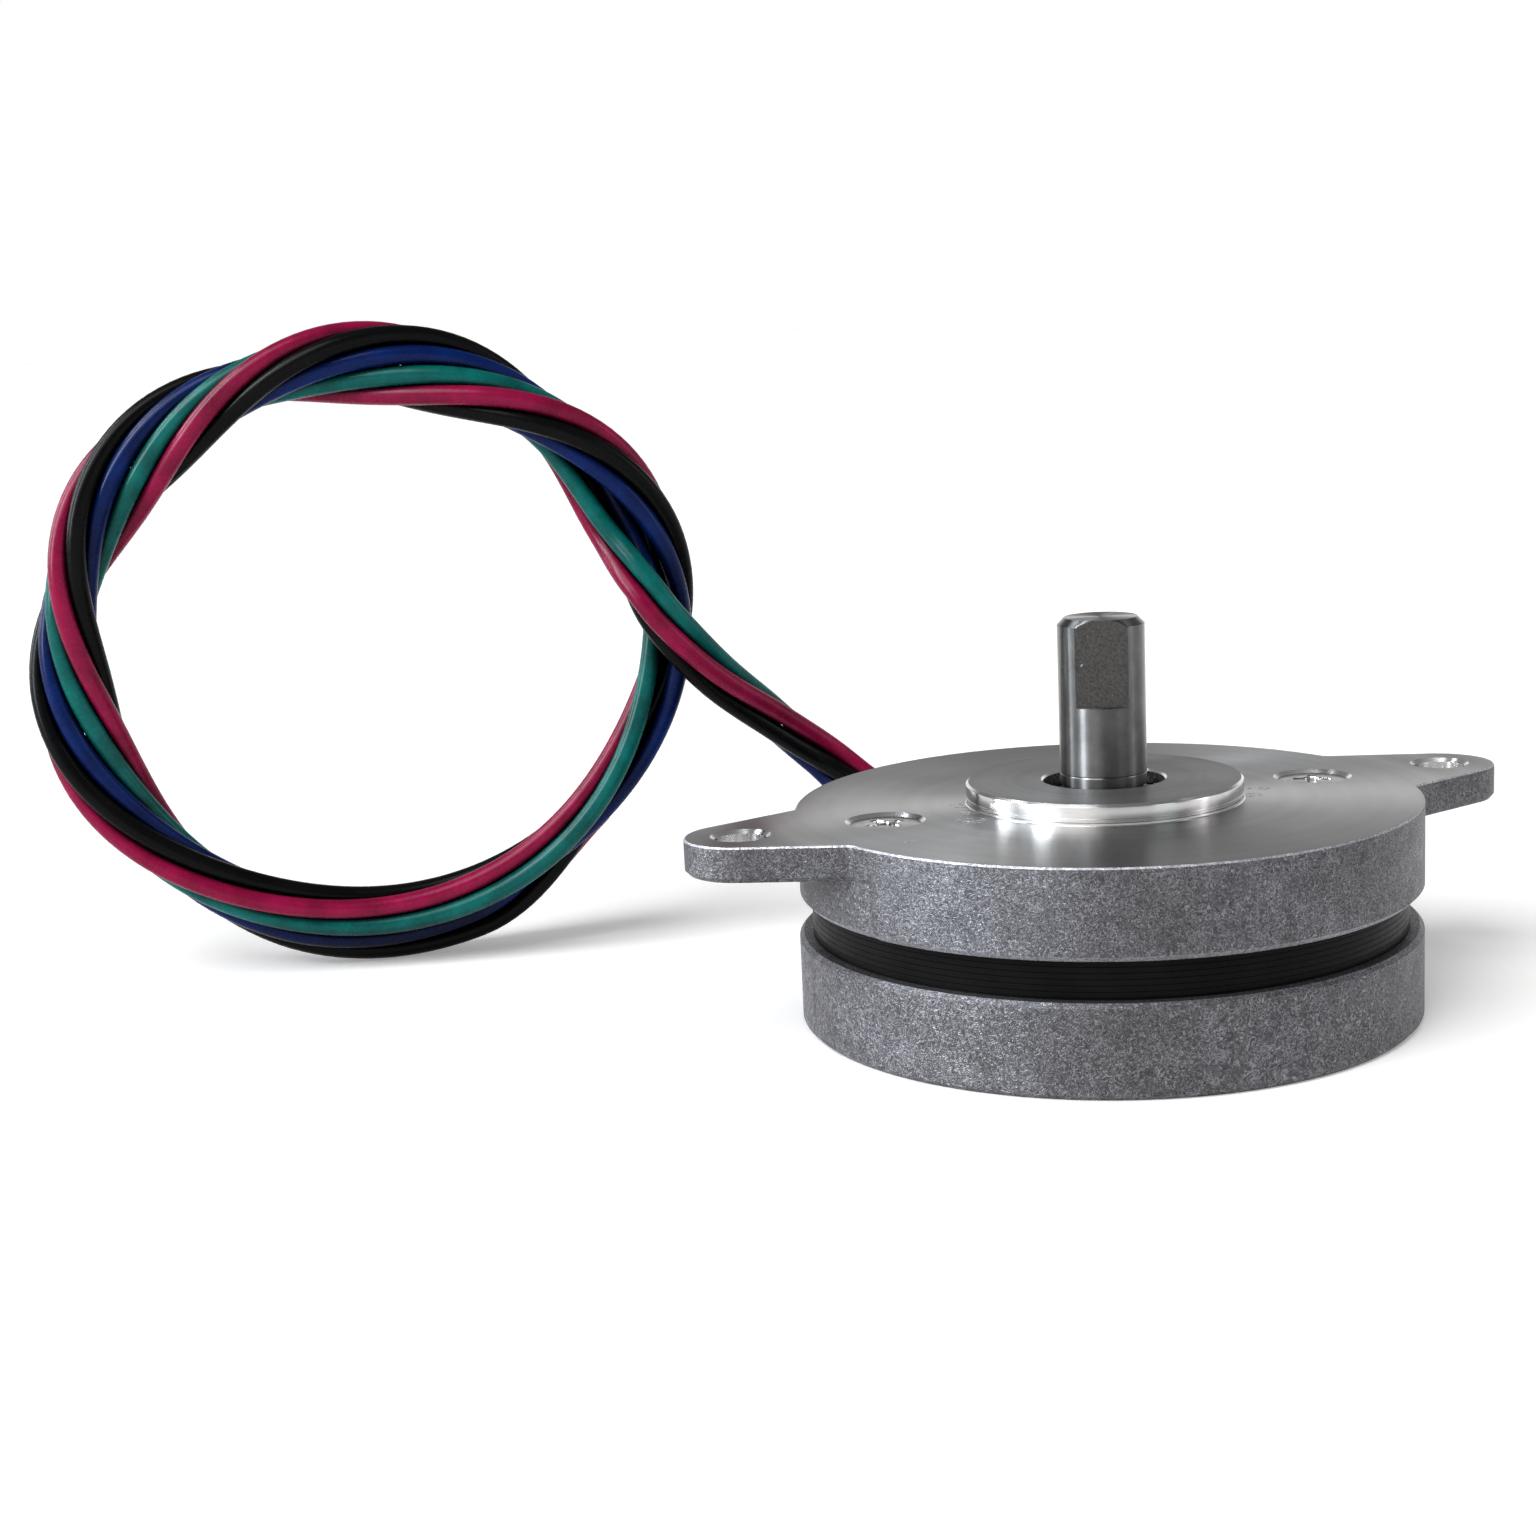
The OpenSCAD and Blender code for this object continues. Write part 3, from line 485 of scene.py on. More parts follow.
# %% The cover's profile
CAST, TURNED, POLISHED, FINE, WORN = 0, 1, 2, 3, 4
EDGE, SMALL_EDGE, LOWER_EDGE, BORE_EDGE = 0.1 * MM, 0.25 * MM, 0.3 * MM, 0.12 * MM
BOSS_R, BORE_R, SEAT_R, BEARING_R, HUB_R = 8 * MM, 3.5 * MM, 17.2 * MM, 4.5 * MM, 5.9 * MM
INNER_R, SEAT_Z, HUB_Z, SHOULDER_Z = 16.4 * MM, 8.3 * MM, 9.8 * MM, 12.8 * MM
FOOT_OUT, FACE_OUT = 0.06 * MM, 0.35 * MM
BOSS_EDGE = [(0.16, 0.0), (0.02, 0.13), (0.0, 0.18)]  # in from the side, down from the top
BOSS_SIDE = [(0.0, 0.42), (0.03, 0.395), (0.0, 0.37), (0.0, 0.26), (0.15, 0.24), (0.15, 0.18),
             (0.0, 0.15), (-0.01, 0.05)]  # in from the side, up from the face
RELIEF, RELIEF_HALF, RELIEF_EDGE = 0.12 * MM, 7 * MM, 0.25 * MM


def wall_radius():
    """The wall's radius, a little less under the ears, where the casting was milled back."""
    off_line = np.abs(BODY_R * sind(COVER_ANGLES))
    return BODY_R - RELIEF * ease((RELIEF_HALF - off_line) / RELIEF_EDGE + 0.5)


def front_profile():
    """Radius and height of each row, and the finish of the stretch that follows it."""
    edge, wall, ear_z = COVER_OUTLINE, wall_radius(), TOP_Z - EAR_T
    rows = [(BORE_R, BOSS_Z - BORE_EDGE, POLISHED), (BORE_R + BORE_EDGE, BOSS_Z, FINE)]
    rows += [(BOSS_R - inset * MM, BOSS_Z - down * MM, POLISHED) for inset, down in BOSS_EDGE]
    rows += [(BOSS_R - inset * MM, TOP_Z + up * MM, POLISHED) for inset, up in BOSS_SIDE]
    rows += [
        (BOSS_R + FOOT_OUT, TOP_Z, TURNED), (BOSS_R + FACE_OUT, TOP_Z, TURNED),
        (edge - EDGE, TOP_Z, WORN), (edge, TOP_Z - EDGE, CAST), (edge, ear_z + SMALL_EDGE, CAST),
        (np.maximum(edge - SMALL_EDGE, wall), ear_z, CAST), (wall, ear_z, CAST),
        (wall, FRONT_Z + LOWER_EDGE, WORN), (wall - LOWER_EDGE, FRONT_Z, CAST),
        (SEAT_R, FRONT_Z, CAST), (SEAT_R, SEAT_Z, CAST), (INNER_R, SEAT_Z, CAST),
        (INNER_R, ROOF_Z, CAST), (HUB_R, ROOF_Z, CAST), (HUB_R, HUB_Z, CAST),
        (BEARING_R, HUB_Z, CAST), (BEARING_R, SHOULDER_Z, CAST), (BORE_R, SHOULDER_Z, CAST),
    ]
    radii, heights, finishes = zip(*rows)
    radius = np.stack([np.broadcast_to(r, COVER_ANGLES.shape) for r in radii])
    return radius, np.array(heights), np.array(finishes)


def carried_round(radius, height, angles):
    """Points of a profile carried round the shaft: radius times cosine and sine, and the height."""
    return np.stack(np.broadcast_arrays(radius * cosd(angles), radius * sind(angles),
                                        height[:, None]), axis=-1)


radius, height, finish = front_profile()
front_cover = make_piece("front_cover_skin", carried_round(radius, height, COVER_ANGLES),
                         grid_faces(len(height), len(COVER_ANGLES), close_rows=True),
                         finish_of_face=np.repeat(finish, len(COVER_ANGLES)))
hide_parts("front_cover")

# %% [markdown]
# The holes are cut with cutters, as on the real one: a countersink for each screw,
# a chamfered hole in each ear, and the window of the leads. A cutter is a small
# lathe's work of its own, given as pairs of radius and height in millimetres, or a
# box. What a drill has cut is polished, and the window's sides are cast.

# %% The holes
SCREW_X, CUTTER_SIDES = 13.4 * MM, 96
COUNTERSINK = [(0, 10), (1.15, 10), (1.15, 11.28), (2.2, 12.33), (2.31, 12.42), (2.31, 12.6),
               (0, 12.6)]
EAR_HOLE = [(0, 10), (1.72, 10), (1.72, 10.38), (1.5, 10.56), (1.5, 12.18), (1.74, 12.42),
            (1.74, 12.6), (0, 12.6)]
WINDOW_LOW, WINDOW_HIGH = (14.5, -2.9, 8.3), (20.0, 2.9, 10.3)


def turned_at(x, profile, angles):
    """A profile of radii and heights in millimetres, carried round an upright axis at x."""
    r, z = np.array(profile).T * MM
    return carried_round(r[:, None], z, angles) + np.array([x, 0, 0])


def box_points(low, high):
    """Eight corners of a box as a closed grid of two rows of four."""
    x, y = [low[0], high[0], high[0], low[0]], [low[1], low[1], high[1], high[1]]
    return np.array([[(a, b, z) for a, b in zip(x, y)] for z in (low[2], high[2])])


def make_cutter():
    """All cutters as one object, which the cover is then cut with once."""
    angles = 360 * np.arange(CUTTER_SIDES) / CUTTER_SIDES
    bores = [turned_at(x * side, profile, angles)
             for profile, x in ((COUNTERSINK, SCREW_X), (EAR_HOLE, EAR_X)) for side in (-1, 1)]
    parts = [(bore, grid_faces(*bore.shape[:2])) for bore in bores]
    bored = sum(len(faces) for _, faces in parts)
    c, s = cosd(OUTLET_ANGLE), sind(OUTLET_ANGLE)
    window_box = box_points(np.array(WINDOW_LOW) * MM, np.array(WINDOW_HIGH) * MM)
    window_box = window_box @ np.array([[c, s, 0], [-s, c, 0], [0, 0, 1]])
    box_faces = np.vstack([grid_faces(2, 4), [[3, 2, 1, 0], [4, 5, 6, 7]]])
    points, faces = joined(parts + [(window_box, box_faces)])
    finish = np.where(np.arange(len(faces)) < bored, POLISHED, CAST)
    return add_object("cutter", make_mesh("cutter", points, faces, finish, CUTTER_SEAM))


def cut(piece, cutter):
    """Cuts the piece, keeps the result as its mesh and removes the cutter."""
    modifier = piece.modifiers.new("holes", "BOOLEAN")
    modifier.operation, modifier.solver, modifier.object = "DIFFERENCE", "EXACT", cutter
    modifier.material_mode = "INDEX"
    bpy.context.view_layer.update()
    evaluated = piece.evaluated_get(bpy.context.evaluated_depsgraph_get())
    result = bpy.data.meshes.new_from_object(evaluated)
    piece.modifiers.clear()
    piece.data = result
    smooth(result)
    bpy.data.objects.remove(cutter)
    print(piece.name, "has", len(result.polygons), "faces after the cut")


cut(front_cover, make_cutter())

# %% [markdown]
# ## The shaft
# The shaft is ground round, and one side of its end is milled flat. In a section
# through the flat, the radius is the smaller of the shaft's own and the distance to
# the flat divided by the cosine of the angle from it. So it too is one formula, in
# the angle and the height. A neck lies inside the boss's hole, and just above the
# boss is a fine turned line.

# %% The shaft
SHAFT_R, FLAT_DEPTH, FLAT_TURN = 2.5 * MM, 0.5 * MM, -113.0
SHAFT_FOOT, SHAFT_TIP, FLAT_Z = 1.0 * MM, 23.0 * MM, 18.0 * MM
CHAMFER, FOOT_CHAMFER = 0.4 * MM, 0.2 * MM
NECK_Z, NECK_W, NECK_DEPTH = 12.8 * MM, 0.55 * MM, 0.2 * MM
LINE_Z, LINE_HALF, LINE_DEPTH = 14.0 * MM, 0.06 * MM, 0.03 * MM
FLAT_POINTS, ROUND_POINTS, TIP_ROWS = 25, 121, 7
LEAST_COSINE, NO_FLAT, TOUCHING = 0.1, 1.0, 0.001 * MM
half_flat = np.degrees(np.arccos((SHAFT_R - FLAT_DEPTH) / SHAFT_R))
shaft_angles = np.concatenate([np.linspace(-half_flat, half_flat, FLAT_POINTS)[:-1],
                               np.linspace(half_flat, 360 - half_flat, ROUND_POINTS)[:-1]])


def shaft_rows():
    """Radius and height of each ring: the round ones first, then those that the flat cuts."""
    neck_r, line_r = SHAFT_R - NECK_DEPTH, SHAFT_R - LINE_DEPTH
    round_rows = [
        (0, SHAFT_FOOT), (SHAFT_R - FOOT_CHAMFER, SHAFT_FOOT), (SHAFT_R, SHAFT_FOOT + FOOT_CHAMFER),
        (SHAFT_R, NECK_Z), (neck_r, NECK_Z), (neck_r, NECK_Z + NECK_W), (SHAFT_R, NECK_Z + NECK_W),
        (SHAFT_R, LINE_Z - LINE_HALF), (line_r, LINE_Z), (SHAFT_R, LINE_Z + LINE_HALF),
        (SHAFT_R, FLAT_Z),
    ]
    tip_rows = [(SHAFT_R - CHAMFER * k, SHAFT_TIP - CHAMFER * (1 - k))
                for k in np.linspace(0, 1, TIP_ROWS)]
    return round_rows, [(SHAFT_R, FLAT_Z)] + tip_rows + [(0, SHAFT_TIP)]


def shaft_surface():
    """Below the flat the rings are round; above, each radius is the smaller of the ring's own
    and the flat's distance divided by the cosine. A face is milled where that is the smaller."""
    round_rows, flat_rows = shaft_rows()
    ring_r, height = np.array(round_rows + flat_rows).T
    away = cosd(shaft_angles)
    cut_r = (SHAFT_R - FLAT_DEPTH) / np.maximum(away, LEAST_COSINE)
    flat = np.where(away > LEAST_COSINE, cut_r, NO_FLAT)
    radius = np.repeat(ring_r[:, None], len(shaft_angles), axis=1)
    start = len(round_rows)
    radius[start:] = np.minimum(radius[start:], flat)
    points = carried_round(radius, height, shaft_angles + FLAT_TURN)
    under = (flat <= ring_r[:, None] + TOUCHING) & (np.arange(len(ring_r)) >= start)[:, None]
    below = under[:-1] & under[1:]
    return points, (below & np.roll(below, -1, axis=1)).ravel().astype(int)


points, finish = shaft_surface()
shaft = make_piece("shaft_surface", points, grid_faces(*points.shape[:2]), body="rotor",
                   finish_of_face=finish)
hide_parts("shaft")

# %% [markdown]
# ## The cover screws
# A screw's head is a cone with a nearly flat top and a cross recess. Its top can be
# written as a height over a round grid: flat, rounded off at the rim, and sunk where
# the point lies inside one of the two crossed slots.

# %% The cover screws
HEAD_R, HEAD_Z, DOME = 2.1 * MM, 12.25 * MM, 0.06 * MM
SLOT_HALF, SLOT_REACH, SLOT_DEPTH, SLOT_RISE = 0.24 * MM, 1.15 * MM, 0.7 * MM, 0.35
SLOT_SIDE, SLOT_END, MIDDLE_R = 0.09 * MM, 0.3 * MM, 0.62 * MM
GRID_STEP, GRID_R, TOP_R, GRID_RINGS, RIM_RINGS = 2.5, 1.45, 2.04, 40, 8
BELOW_TOP = [(2.1, 12.13), (2.1, 12.09), (1.04, 11.03), (1.0, 10.97), (1.0, 1.3), (0.8, 1.1),
             (0, 1.1)]
SCREW_TURNS = {-SCREW_X: 20, SCREW_X: 62}


def head_height(r, angle):
    """Height of the head's top less the recess, whose arms narrow and rise outwards."""
    u, v = r * cosd(angle), r * sind(angle)
    arms = [ease((SLOT_HALF - np.abs(b)) / SLOT_SIDE + 0.5)
            * ease((SLOT_REACH - np.abs(a)) / SLOT_END) for a, b in ((u, v), (v, u))]
    recess = np.maximum(np.maximum(*arms), ease((MIDDLE_R - r) / SLOT_END))
    dome = DOME * (r / HEAD_R) ** 2
    return HEAD_Z - dome - SLOT_DEPTH * recess * (1 - SLOT_RISE * r / SLOT_REACH)


def screw_surface(x, turn):
    """The top as a height over rings, then the head's cone, the shank and its end."""
    angle = np.arange(0, 360, GRID_STEP)
    rings = np.concatenate([np.linspace(0, GRID_R, GRID_RINGS),
                            np.linspace(GRID_R, TOP_R, RIM_RINGS)[1:]]) * MM
    r, a = np.meshgrid(rings, angle, indexing="ij")
    top = np.stack([r * cosd(a + turn), r * sind(a + turn), head_height(r, a)], axis=-1)
    return np.concatenate([top, turned_at(0, BELOW_TOP, angle + turn)]) + np.array([x, 0, 0])


screw_grids = [screw_surface(x, turn) for x, turn in SCREW_TURNS.items()]
points, faces = joined([(grid, grid_faces(*grid.shape[:2])) for grid in screw_grids])
screws = make_piece("cover_screw_pair", points, faces, sharp_degrees=SCREW_SHARP)
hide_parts("cover_screws")

# %% [markdown]
# ## Materials
# Each finish is built from a few nodes on Object coordinates, in metres, so a
# pattern's size can be chosen as on the real part. One helper adds a node, sets its
# plain values and links the rest, and the others are short names for common nodes.

# %% Helpers for nodes
def new_material(name):
    """A material with only a Principled shader; returns it with its tree and shader."""
    material = bpy.data.materials.new(name)
    material.use_nodes = True
    tree = material.node_tree
    tree.nodes.clear()
    out = tree.nodes.new("ShaderNodeOutputMaterial")
    shader = tree.nodes.new("ShaderNodeBsdfPrincipled")
    tree.links.new(shader.outputs["BSDF"], out.inputs["Surface"])
    return material, tree, shader


def feed(tree, socket, value):
    """Links another node's output to the socket, or sets a plain value on it."""
    if isinstance(value, bpy.types.NodeSocket):
        tree.links.new(value, socket)
    else:
        socket.default_value = value


def node(tree, kind, sockets=None, **settings):
    """One node: settings are its own options, and a socket takes a value or an output."""
    made = tree.nodes.new("ShaderNode" + kind)
    for key, value in settings.items():
        setattr(made, key, value)
    for key, value in (sockets or {}).items():
        feed(tree, made.inputs[key], value)
    return made


def wire_up(tree, shader, **sockets):
    """Feeds the shader's sockets, whose names are written with underscores."""
    for key, value in sockets.items():
        feed(tree, shader.inputs[key.replace("_", " ")], value)


def on_object(tree):
    """The point on its object, in metres."""
    return node(tree, "TexCoord").outputs["Object"]


def noise(tree, scale, detail=2.0, roughness=0.5, vector=None, output="Fac", **more):
    """Smooth noise on Object coordinates; the scale is in bumps to the metre."""
    where = on_object(tree) if vector is None else vector
    sockets = {"Vector": where, "Scale": scale, "Detail": detail, "Roughness": roughness, **more}
    return node(tree, "TexNoise", sockets).outputs[output]


def maths(tree, operation, *values):
    """The result of one Math node."""
    return node(tree, "Math", dict(enumerate(values)), operation=operation).outputs[0]


def times(tree, colour, shade):
    """Two colours multiplied."""
    sockets = {0: 1.0, 6: colour, 7: shade}
    return node(tree, "Mix", sockets, data_type="RGBA", blend_type="MULTIPLY").outputs[2]


def ramp(tree, value, stops):
    """A ramp from pairs of position and colour."""
    made = node(tree, "ValToRGB", {"Fac": value})
    elements = made.color_ramp.elements
    while len(elements) < len(stops):
        elements.new(0.5)
    for element, (position, colour) in zip(elements, stops):
        element.position = position
        element.color = (*colour, 1.0)
    return made.outputs["Color"]


def grey(v, warm=0.0):
    """A grey with a touch of warmth or, below nought, of cold."""
    return (v * (1 + warm), v, v * (1 - warm))


def span(tree, value, low, high, to_low, to_high):
    """A value moved from one range to another."""
    return node(tree, "MapRange", {0: value, 1: low, 2: high, 3: to_low, 4: to_high}).outputs[0]


def bump(tree, height, strength, distance, under=None):
    """A bump from a height, over another one if given; the distance is in metres."""
    sockets = {"Height": height, "Strength": strength, "Distance": distance}
    if under is not None:
        sockets["Normal"] = under
    return node(tree, "Bump", sockets).outputs["Normal"]


def round_the_shaft(tree):
    """A tangent that runs round the shaft, as a lathe's and a grinder's marks do."""
    return node(tree, "Tangent", direction_type="RADIAL", axis="Z").outputs[0]


# %% [markdown]
# ### Blasted casting
# The sides of the covers are matte grey with soft uneven flecks that catch the
# light. The flecks are a noise that is read at the point times a second noise, which
# warps them. A finer grain and a broader mottle are added, and the sum sets the
# tone, the gloss and the height together. A slow cloud makes some places a little
# darker and warmer. The worn edges are the same in lighter tones.

# %% Blasted casting
WARP_SCALE, FLECK_SCALE, GRAIN_SCALE, MOTTLE_SCALE, CLOUD_SCALE = 1500, 2300, 6000, 620, 120
WARP_SHIFT = (0.0006, 0.0006, 0.0006)
GRAIN_SHARE, MOTTLE_SHARE = 0.32, 0.15


def cast_grey(v):
    """A grey with a little more blue."""
    return (v * 0.985, v * 0.98, v * 1.07)


def blasted_casting(name="blasted_casting", tones=(0.050, 0.090, 0.29)):
    """Warped flecks plus shares of grain and mottle, in a dark, a middle and a light tone."""
    material, tree, shader = new_material(name)
    warp = noise(tree, WARP_SCALE, output="Color")
    place = node(tree, "VectorMath", {0: on_object(tree), 1: warp, 2: WARP_SHIFT},
                 operation="MULTIPLY_ADD").outputs[0]
    flecks = noise(tree, FLECK_SCALE, roughness=0.6, vector=place)
    fine = noise(tree, GRAIN_SCALE, roughness=0.6)
    mottle = noise(tree, MOTTLE_SCALE, roughness=0.6)
    grain = maths(tree, "MULTIPLY_ADD", fine, GRAIN_SHARE, flecks)
    grain = maths(tree, "MULTIPLY_ADD", mottle, MOTTLE_SHARE, grain)
    base = ramp(tree, span(tree, grain, 0.46, 1.00, 0.0, 1.0),
                [(at, cast_grey(tone)) for at, tone in zip((0.18, 0.52, 0.84), tones)])
    cloud = ramp(tree, noise(tree, CLOUD_SCALE), [(0.35, grey(0.84, 0.03)), (0.65, grey(1.0))])
    wire_up(tree, shader, Base_Color=times(tree, base, cloud), Metallic=0.9,
            Roughness=span(tree, grain, 0.55, 0.95, 0.56, 0.32),
            Normal=bump(tree, grain, 0.6, 0.00006))
    return material


# %% [markdown]
# ### Turned, polished and fine faces
# A lathe leaves fine rings, which spread a highlight across them: the Principled
# shader does that with anisotropy and a tangent that runs round the shaft. The
# distance from the shaft drives a noise in one dimension, so each ring has its own
# tone. A few nicks break it up, and beside the boss, where the photograph shows it,
# the turned face has worn and dented spots: each is a place and a reach in
# millimetres.

# %% Turned faces
RING_SCALE, BAND_SCALE, SMEAR_SCALE, SPECK_SCALE, DENT_SCALE = 9000, 700, 140, 5200, 2100
NICKS = ((-7.9, 2.0, 0.9), (-9.2, -2.4, 1.1), (-8.5, -0.6, 0.8), (7.8, -3.3, 0.6), (9.1, -1.6, 0.7),
         (-13.9, -6.1, 0.5))


def distance_from_shaft(tree):
    """Length of the point's x and y: its distance from the shaft's axis, in metres."""
    flat = node(tree, "VectorMath", {0: on_object(tree), 1: (1.0, 1.0, 0.0)}, operation="MULTIPLY")
    return node(tree, "VectorMath", {0: flat.outputs[0]}, operation="LENGTH").outputs["Value"]


def ring_noise(tree, value, scale, detail=2.0):
    """Noise in one dimension along a value, for rings or bands."""
    sockets = {"W": value, "Scale": scale, "Detail": detail}
    return node(tree, "TexNoise", sockets, noise_dimensions="1D").outputs["Fac"]


def nicked(tree):
    """One inside the worn spots beside the boss, nought elsewhere: the nearest spot counts."""
    spot = None
    for x, y, reach in NICKS:
        away = node(tree, "VectorMath", {0: on_object(tree), 1: (x * MM, y * MM, TOP_Z)},
                    operation="DISTANCE").outputs["Value"]
        share = span(tree, away, 0.5 * reach * MM, reach * MM, 1.0, 0.0)
        spot = share if spot is None else maths(tree, "MAXIMUM", spot, share)
    return spot


def turned_face(name, tones, roughness, ring_strength, nick_depth, stretch, worn_spots=False):
    """Rings and specks as a bump, broad bands and smears as the tone, and smears as the gloss."""
    material, tree, shader = new_material(name)
    rings = ring_noise(tree, distance_from_shaft(tree), RING_SCALE, 3.0)
    bands = ring_noise(tree, distance_from_shaft(tree), BAND_SCALE)
    smear = noise(tree, SMEAR_SCALE, 3.0, 0.6)
    speck = noise(tree, SPECK_SCALE, 2.0, 0.6)
    base = ramp(tree, span(tree, maths(tree, "ADD", bands, smear), 0.7, 1.3, 0.0, 1.0),
                [(0.0, grey(tones[0], 0.01)), (1.0, grey(tones[1], 0.005))])
    nicks = ramp(tree, speck, [(0.70, grey(1.0)), (0.76, grey(1.0 - nick_depth))])
    normal = bump(tree, maths(tree, "ADD", rings, speck), ring_strength, 0.00001)
    if worn_spots:
        dents = noise(tree, DENT_SCALE, 1.0, 0.5, Distortion=1.5)
        dents = span(tree, dents, 0.50, 0.62, 0.0, 1.0)
        depth = maths(tree, "MULTIPLY", dents, nicked(tree))
        normal = bump(tree, depth, 1.0, 0.00008, under=normal)
    wire_up(tree, shader, Base_Color=times(tree, base, nicks), Metallic=1.0,
            Roughness=span(tree, smear, 0.3, 0.7, *roughness), Anisotropic=stretch,
            Anisotropic_Rotation=0.25, Tangent=round_the_shaft(tree), Normal=normal)
    return material


blasted = blasted_casting()
turned_top = turned_face("turned_top", (0.25, 0.32), (0.30, 0.37), ring_strength=0.25,
                         nick_depth=0.15, stretch=0.85, worn_spots=True)
polished_side = turned_face("polished_side", (0.66, 0.80), (0.16, 0.22), ring_strength=0.12,
                            nick_depth=0.09, stretch=0.9)
fine_top = turned_face("fine_top", (0.16, 0.24), (0.38, 0.50), ring_strength=1.2,
                       nick_depth=0.60, stretch=0.35)
worn_edge = blasted_casting("worn_edge", (0.16, 0.40, 0.85))
for finish_material in (blasted, turned_top, polished_side, fine_top, worn_edge):
    front_cover.data.materials.append(finish_material)
print("the front cover has", len(front_cover.data.materials), "finishes")

# %% [markdown]
# ### Ground shaft and milled flat
# Grinding leaves fine rings round the shaft and a satin shine; the flat was milled
# dark and matte, with a few bright specks.

# %% The shaft's finishes
def height_on_part(tree):
    """The point's height above the surface that the motor stands on, in metres."""
    return node(tree, "SeparateXYZ", {0: on_object(tree)}).outputs["Z"]


def ground_steel(name="ground_steel", tones=(0.10, 0.14), roughness=(0.26, 0.34)):
    """Rings from the height as a bump, streaks as the tone, and smears as the gloss."""
    material, tree, shader = new_material(name)
    rings = ring_noise(tree, height_on_part(tree), 12000.0, 3.0)
    smear = noise(tree, 420, 3.0, 0.6)
    streaks = noise(tree, 900, 3.0, 0.6)
    wire_up(tree, shader, Metallic=1.0, Roughness=span(tree, smear, 0.3, 0.7, *roughness),
            Base_Color=ramp(tree, streaks, [(0.3, grey(tones[0])), (0.7, grey(tones[1], 0.005))]),
            Anisotropic=0.95, Anisotropic_Rotation=0.25, Tangent=round_the_shaft(tree),
            Normal=bump(tree, rings, 0.02, 0.00001))
    return material


def milled_flat():
    """Dark grain, with bright specks where a second noise is highest."""
    material, tree, shader = new_material("milled_flat")
    grain = noise(tree, 6500, 3.0, 0.6)
    base = ramp(tree, grain, [(0.3, grey(0.040, 0.05)), (0.7, grey(0.085, 0.04))])
    specks = ramp(tree, noise(tree, 2600), [(0.72, grey(0.0)), (0.78, grey(1.0))])
    share = node(tree, "RGBToBW", {0: specks}).outputs[0]
    spotted = node(tree, "Mix", {0: share, 6: base, 7: (0.5, 0.49, 0.47, 1.0)}, data_type="RGBA")
    wire_up(tree, shader, Base_Color=spotted.outputs[2], Metallic=0.85,
            Roughness=span(tree, grain, 0.2, 0.8, 0.42, 0.6), Normal=bump(tree, grain, 0.5, 0.00003))
    return material


shaft.data.materials.append(ground_steel())
shaft.data.materials.append(milled_flat())
print("the shaft has", len(shaft.data.materials), "finishes")

# %% [markdown]
# ### Glossy insulation
# The leads are soft glossy plastic. The colour and the gloss are a little uneven
# along the wire. Between neighbours the colour is darkened by how much of the
# space round the point is closed off: this is painted shade between the wires.

# %% Insulation
def insulation(name, deep, light, gloss):
    """Two tones of one colour, times a painted shade that follows the open share round the point."""
    material, tree, shader = new_material(name)
    cloud = noise(tree, 380, 3.0, 0.55)
    fine = noise(tree, 3000)
    # painted shade: ambient occlusion darkens the colour where neighbouring wires close off the
    # space
    open_share = node(tree, "AmbientOcclusion", {"Distance": 4 * WIRE}, samples=8).outputs["AO"]
    shade = ramp(tree, open_share, [(0.25, grey(0.03)), (0.90, grey(1.0))])
    base = ramp(tree, cloud, [(0.3, deep), (0.7, light)])
    wire_up(tree, shader, Base_Color=times(tree, base, shade), Metallic=0.0,
            Roughness=span(tree, fine, 0.2, 0.8, 0.22, 0.32), Specular_IOR_Level=gloss,
            Normal=bump(tree, fine, 0.10, 0.00002))
    return material


INSULATION = {
    "black": ((0.0015, 0.0017, 0.002), (0.003, 0.003, 0.0035), 0.07),
    "green": ((0.0004, 0.050, 0.046), (0.0008, 0.125, 0.112), 0.12),
    "blue": ((0.0008, 0.006, 0.048), (0.001, 0.014, 0.100), 0.10),
    "red": ((0.130, 0.0020, 0.022), (0.270, 0.0042, 0.050), 0.12),
}
for colour, (deep, light, gloss) in INSULATION.items():
    leads[colour].data.materials.append(insulation(f"insulation_{colour}", deep, light, gloss))
print(len(INSULATION), "colours of insulation")

# %% [markdown]
# ### Plain metals, varnish and moulded parts
# The rest is carried over from the CAD model, each with the finish of its own kind.

# %% The other finishes
WHITE = (1.0, 1.0, 1.0)
BRASS, TURNED_BRASS = (0.60, 0.44, 0.18), (0.62, 0.46, 0.20)


def grained(name, tones, roughness, grain_scale, metallic=1.0, depth=0.00001, warm=0.0, colour=None,
            shine=0.5):
    """A finish with two sizes of grain: its tone, gloss and surface all vary a little."""
    material, tree, shader = new_material(name)
    grain = noise(tree, grain_scale, 3.0, 0.6)
    cloud = noise(tree, grain_scale / 9)
    low, high = (tuple(c * tone for c in colour) if colour else grey(tone, warm) for tone in tones)
    wire_up(tree, shader, Base_Color=ramp(tree, cloud, [(0.3, low), (0.7, high)]), Metallic=metallic,
            Roughness=span(tree, grain, 0.25, 0.75, *roughness), Specular_IOR_Level=shine,
            Normal=bump(tree, grain, 0.3, depth))
    return material


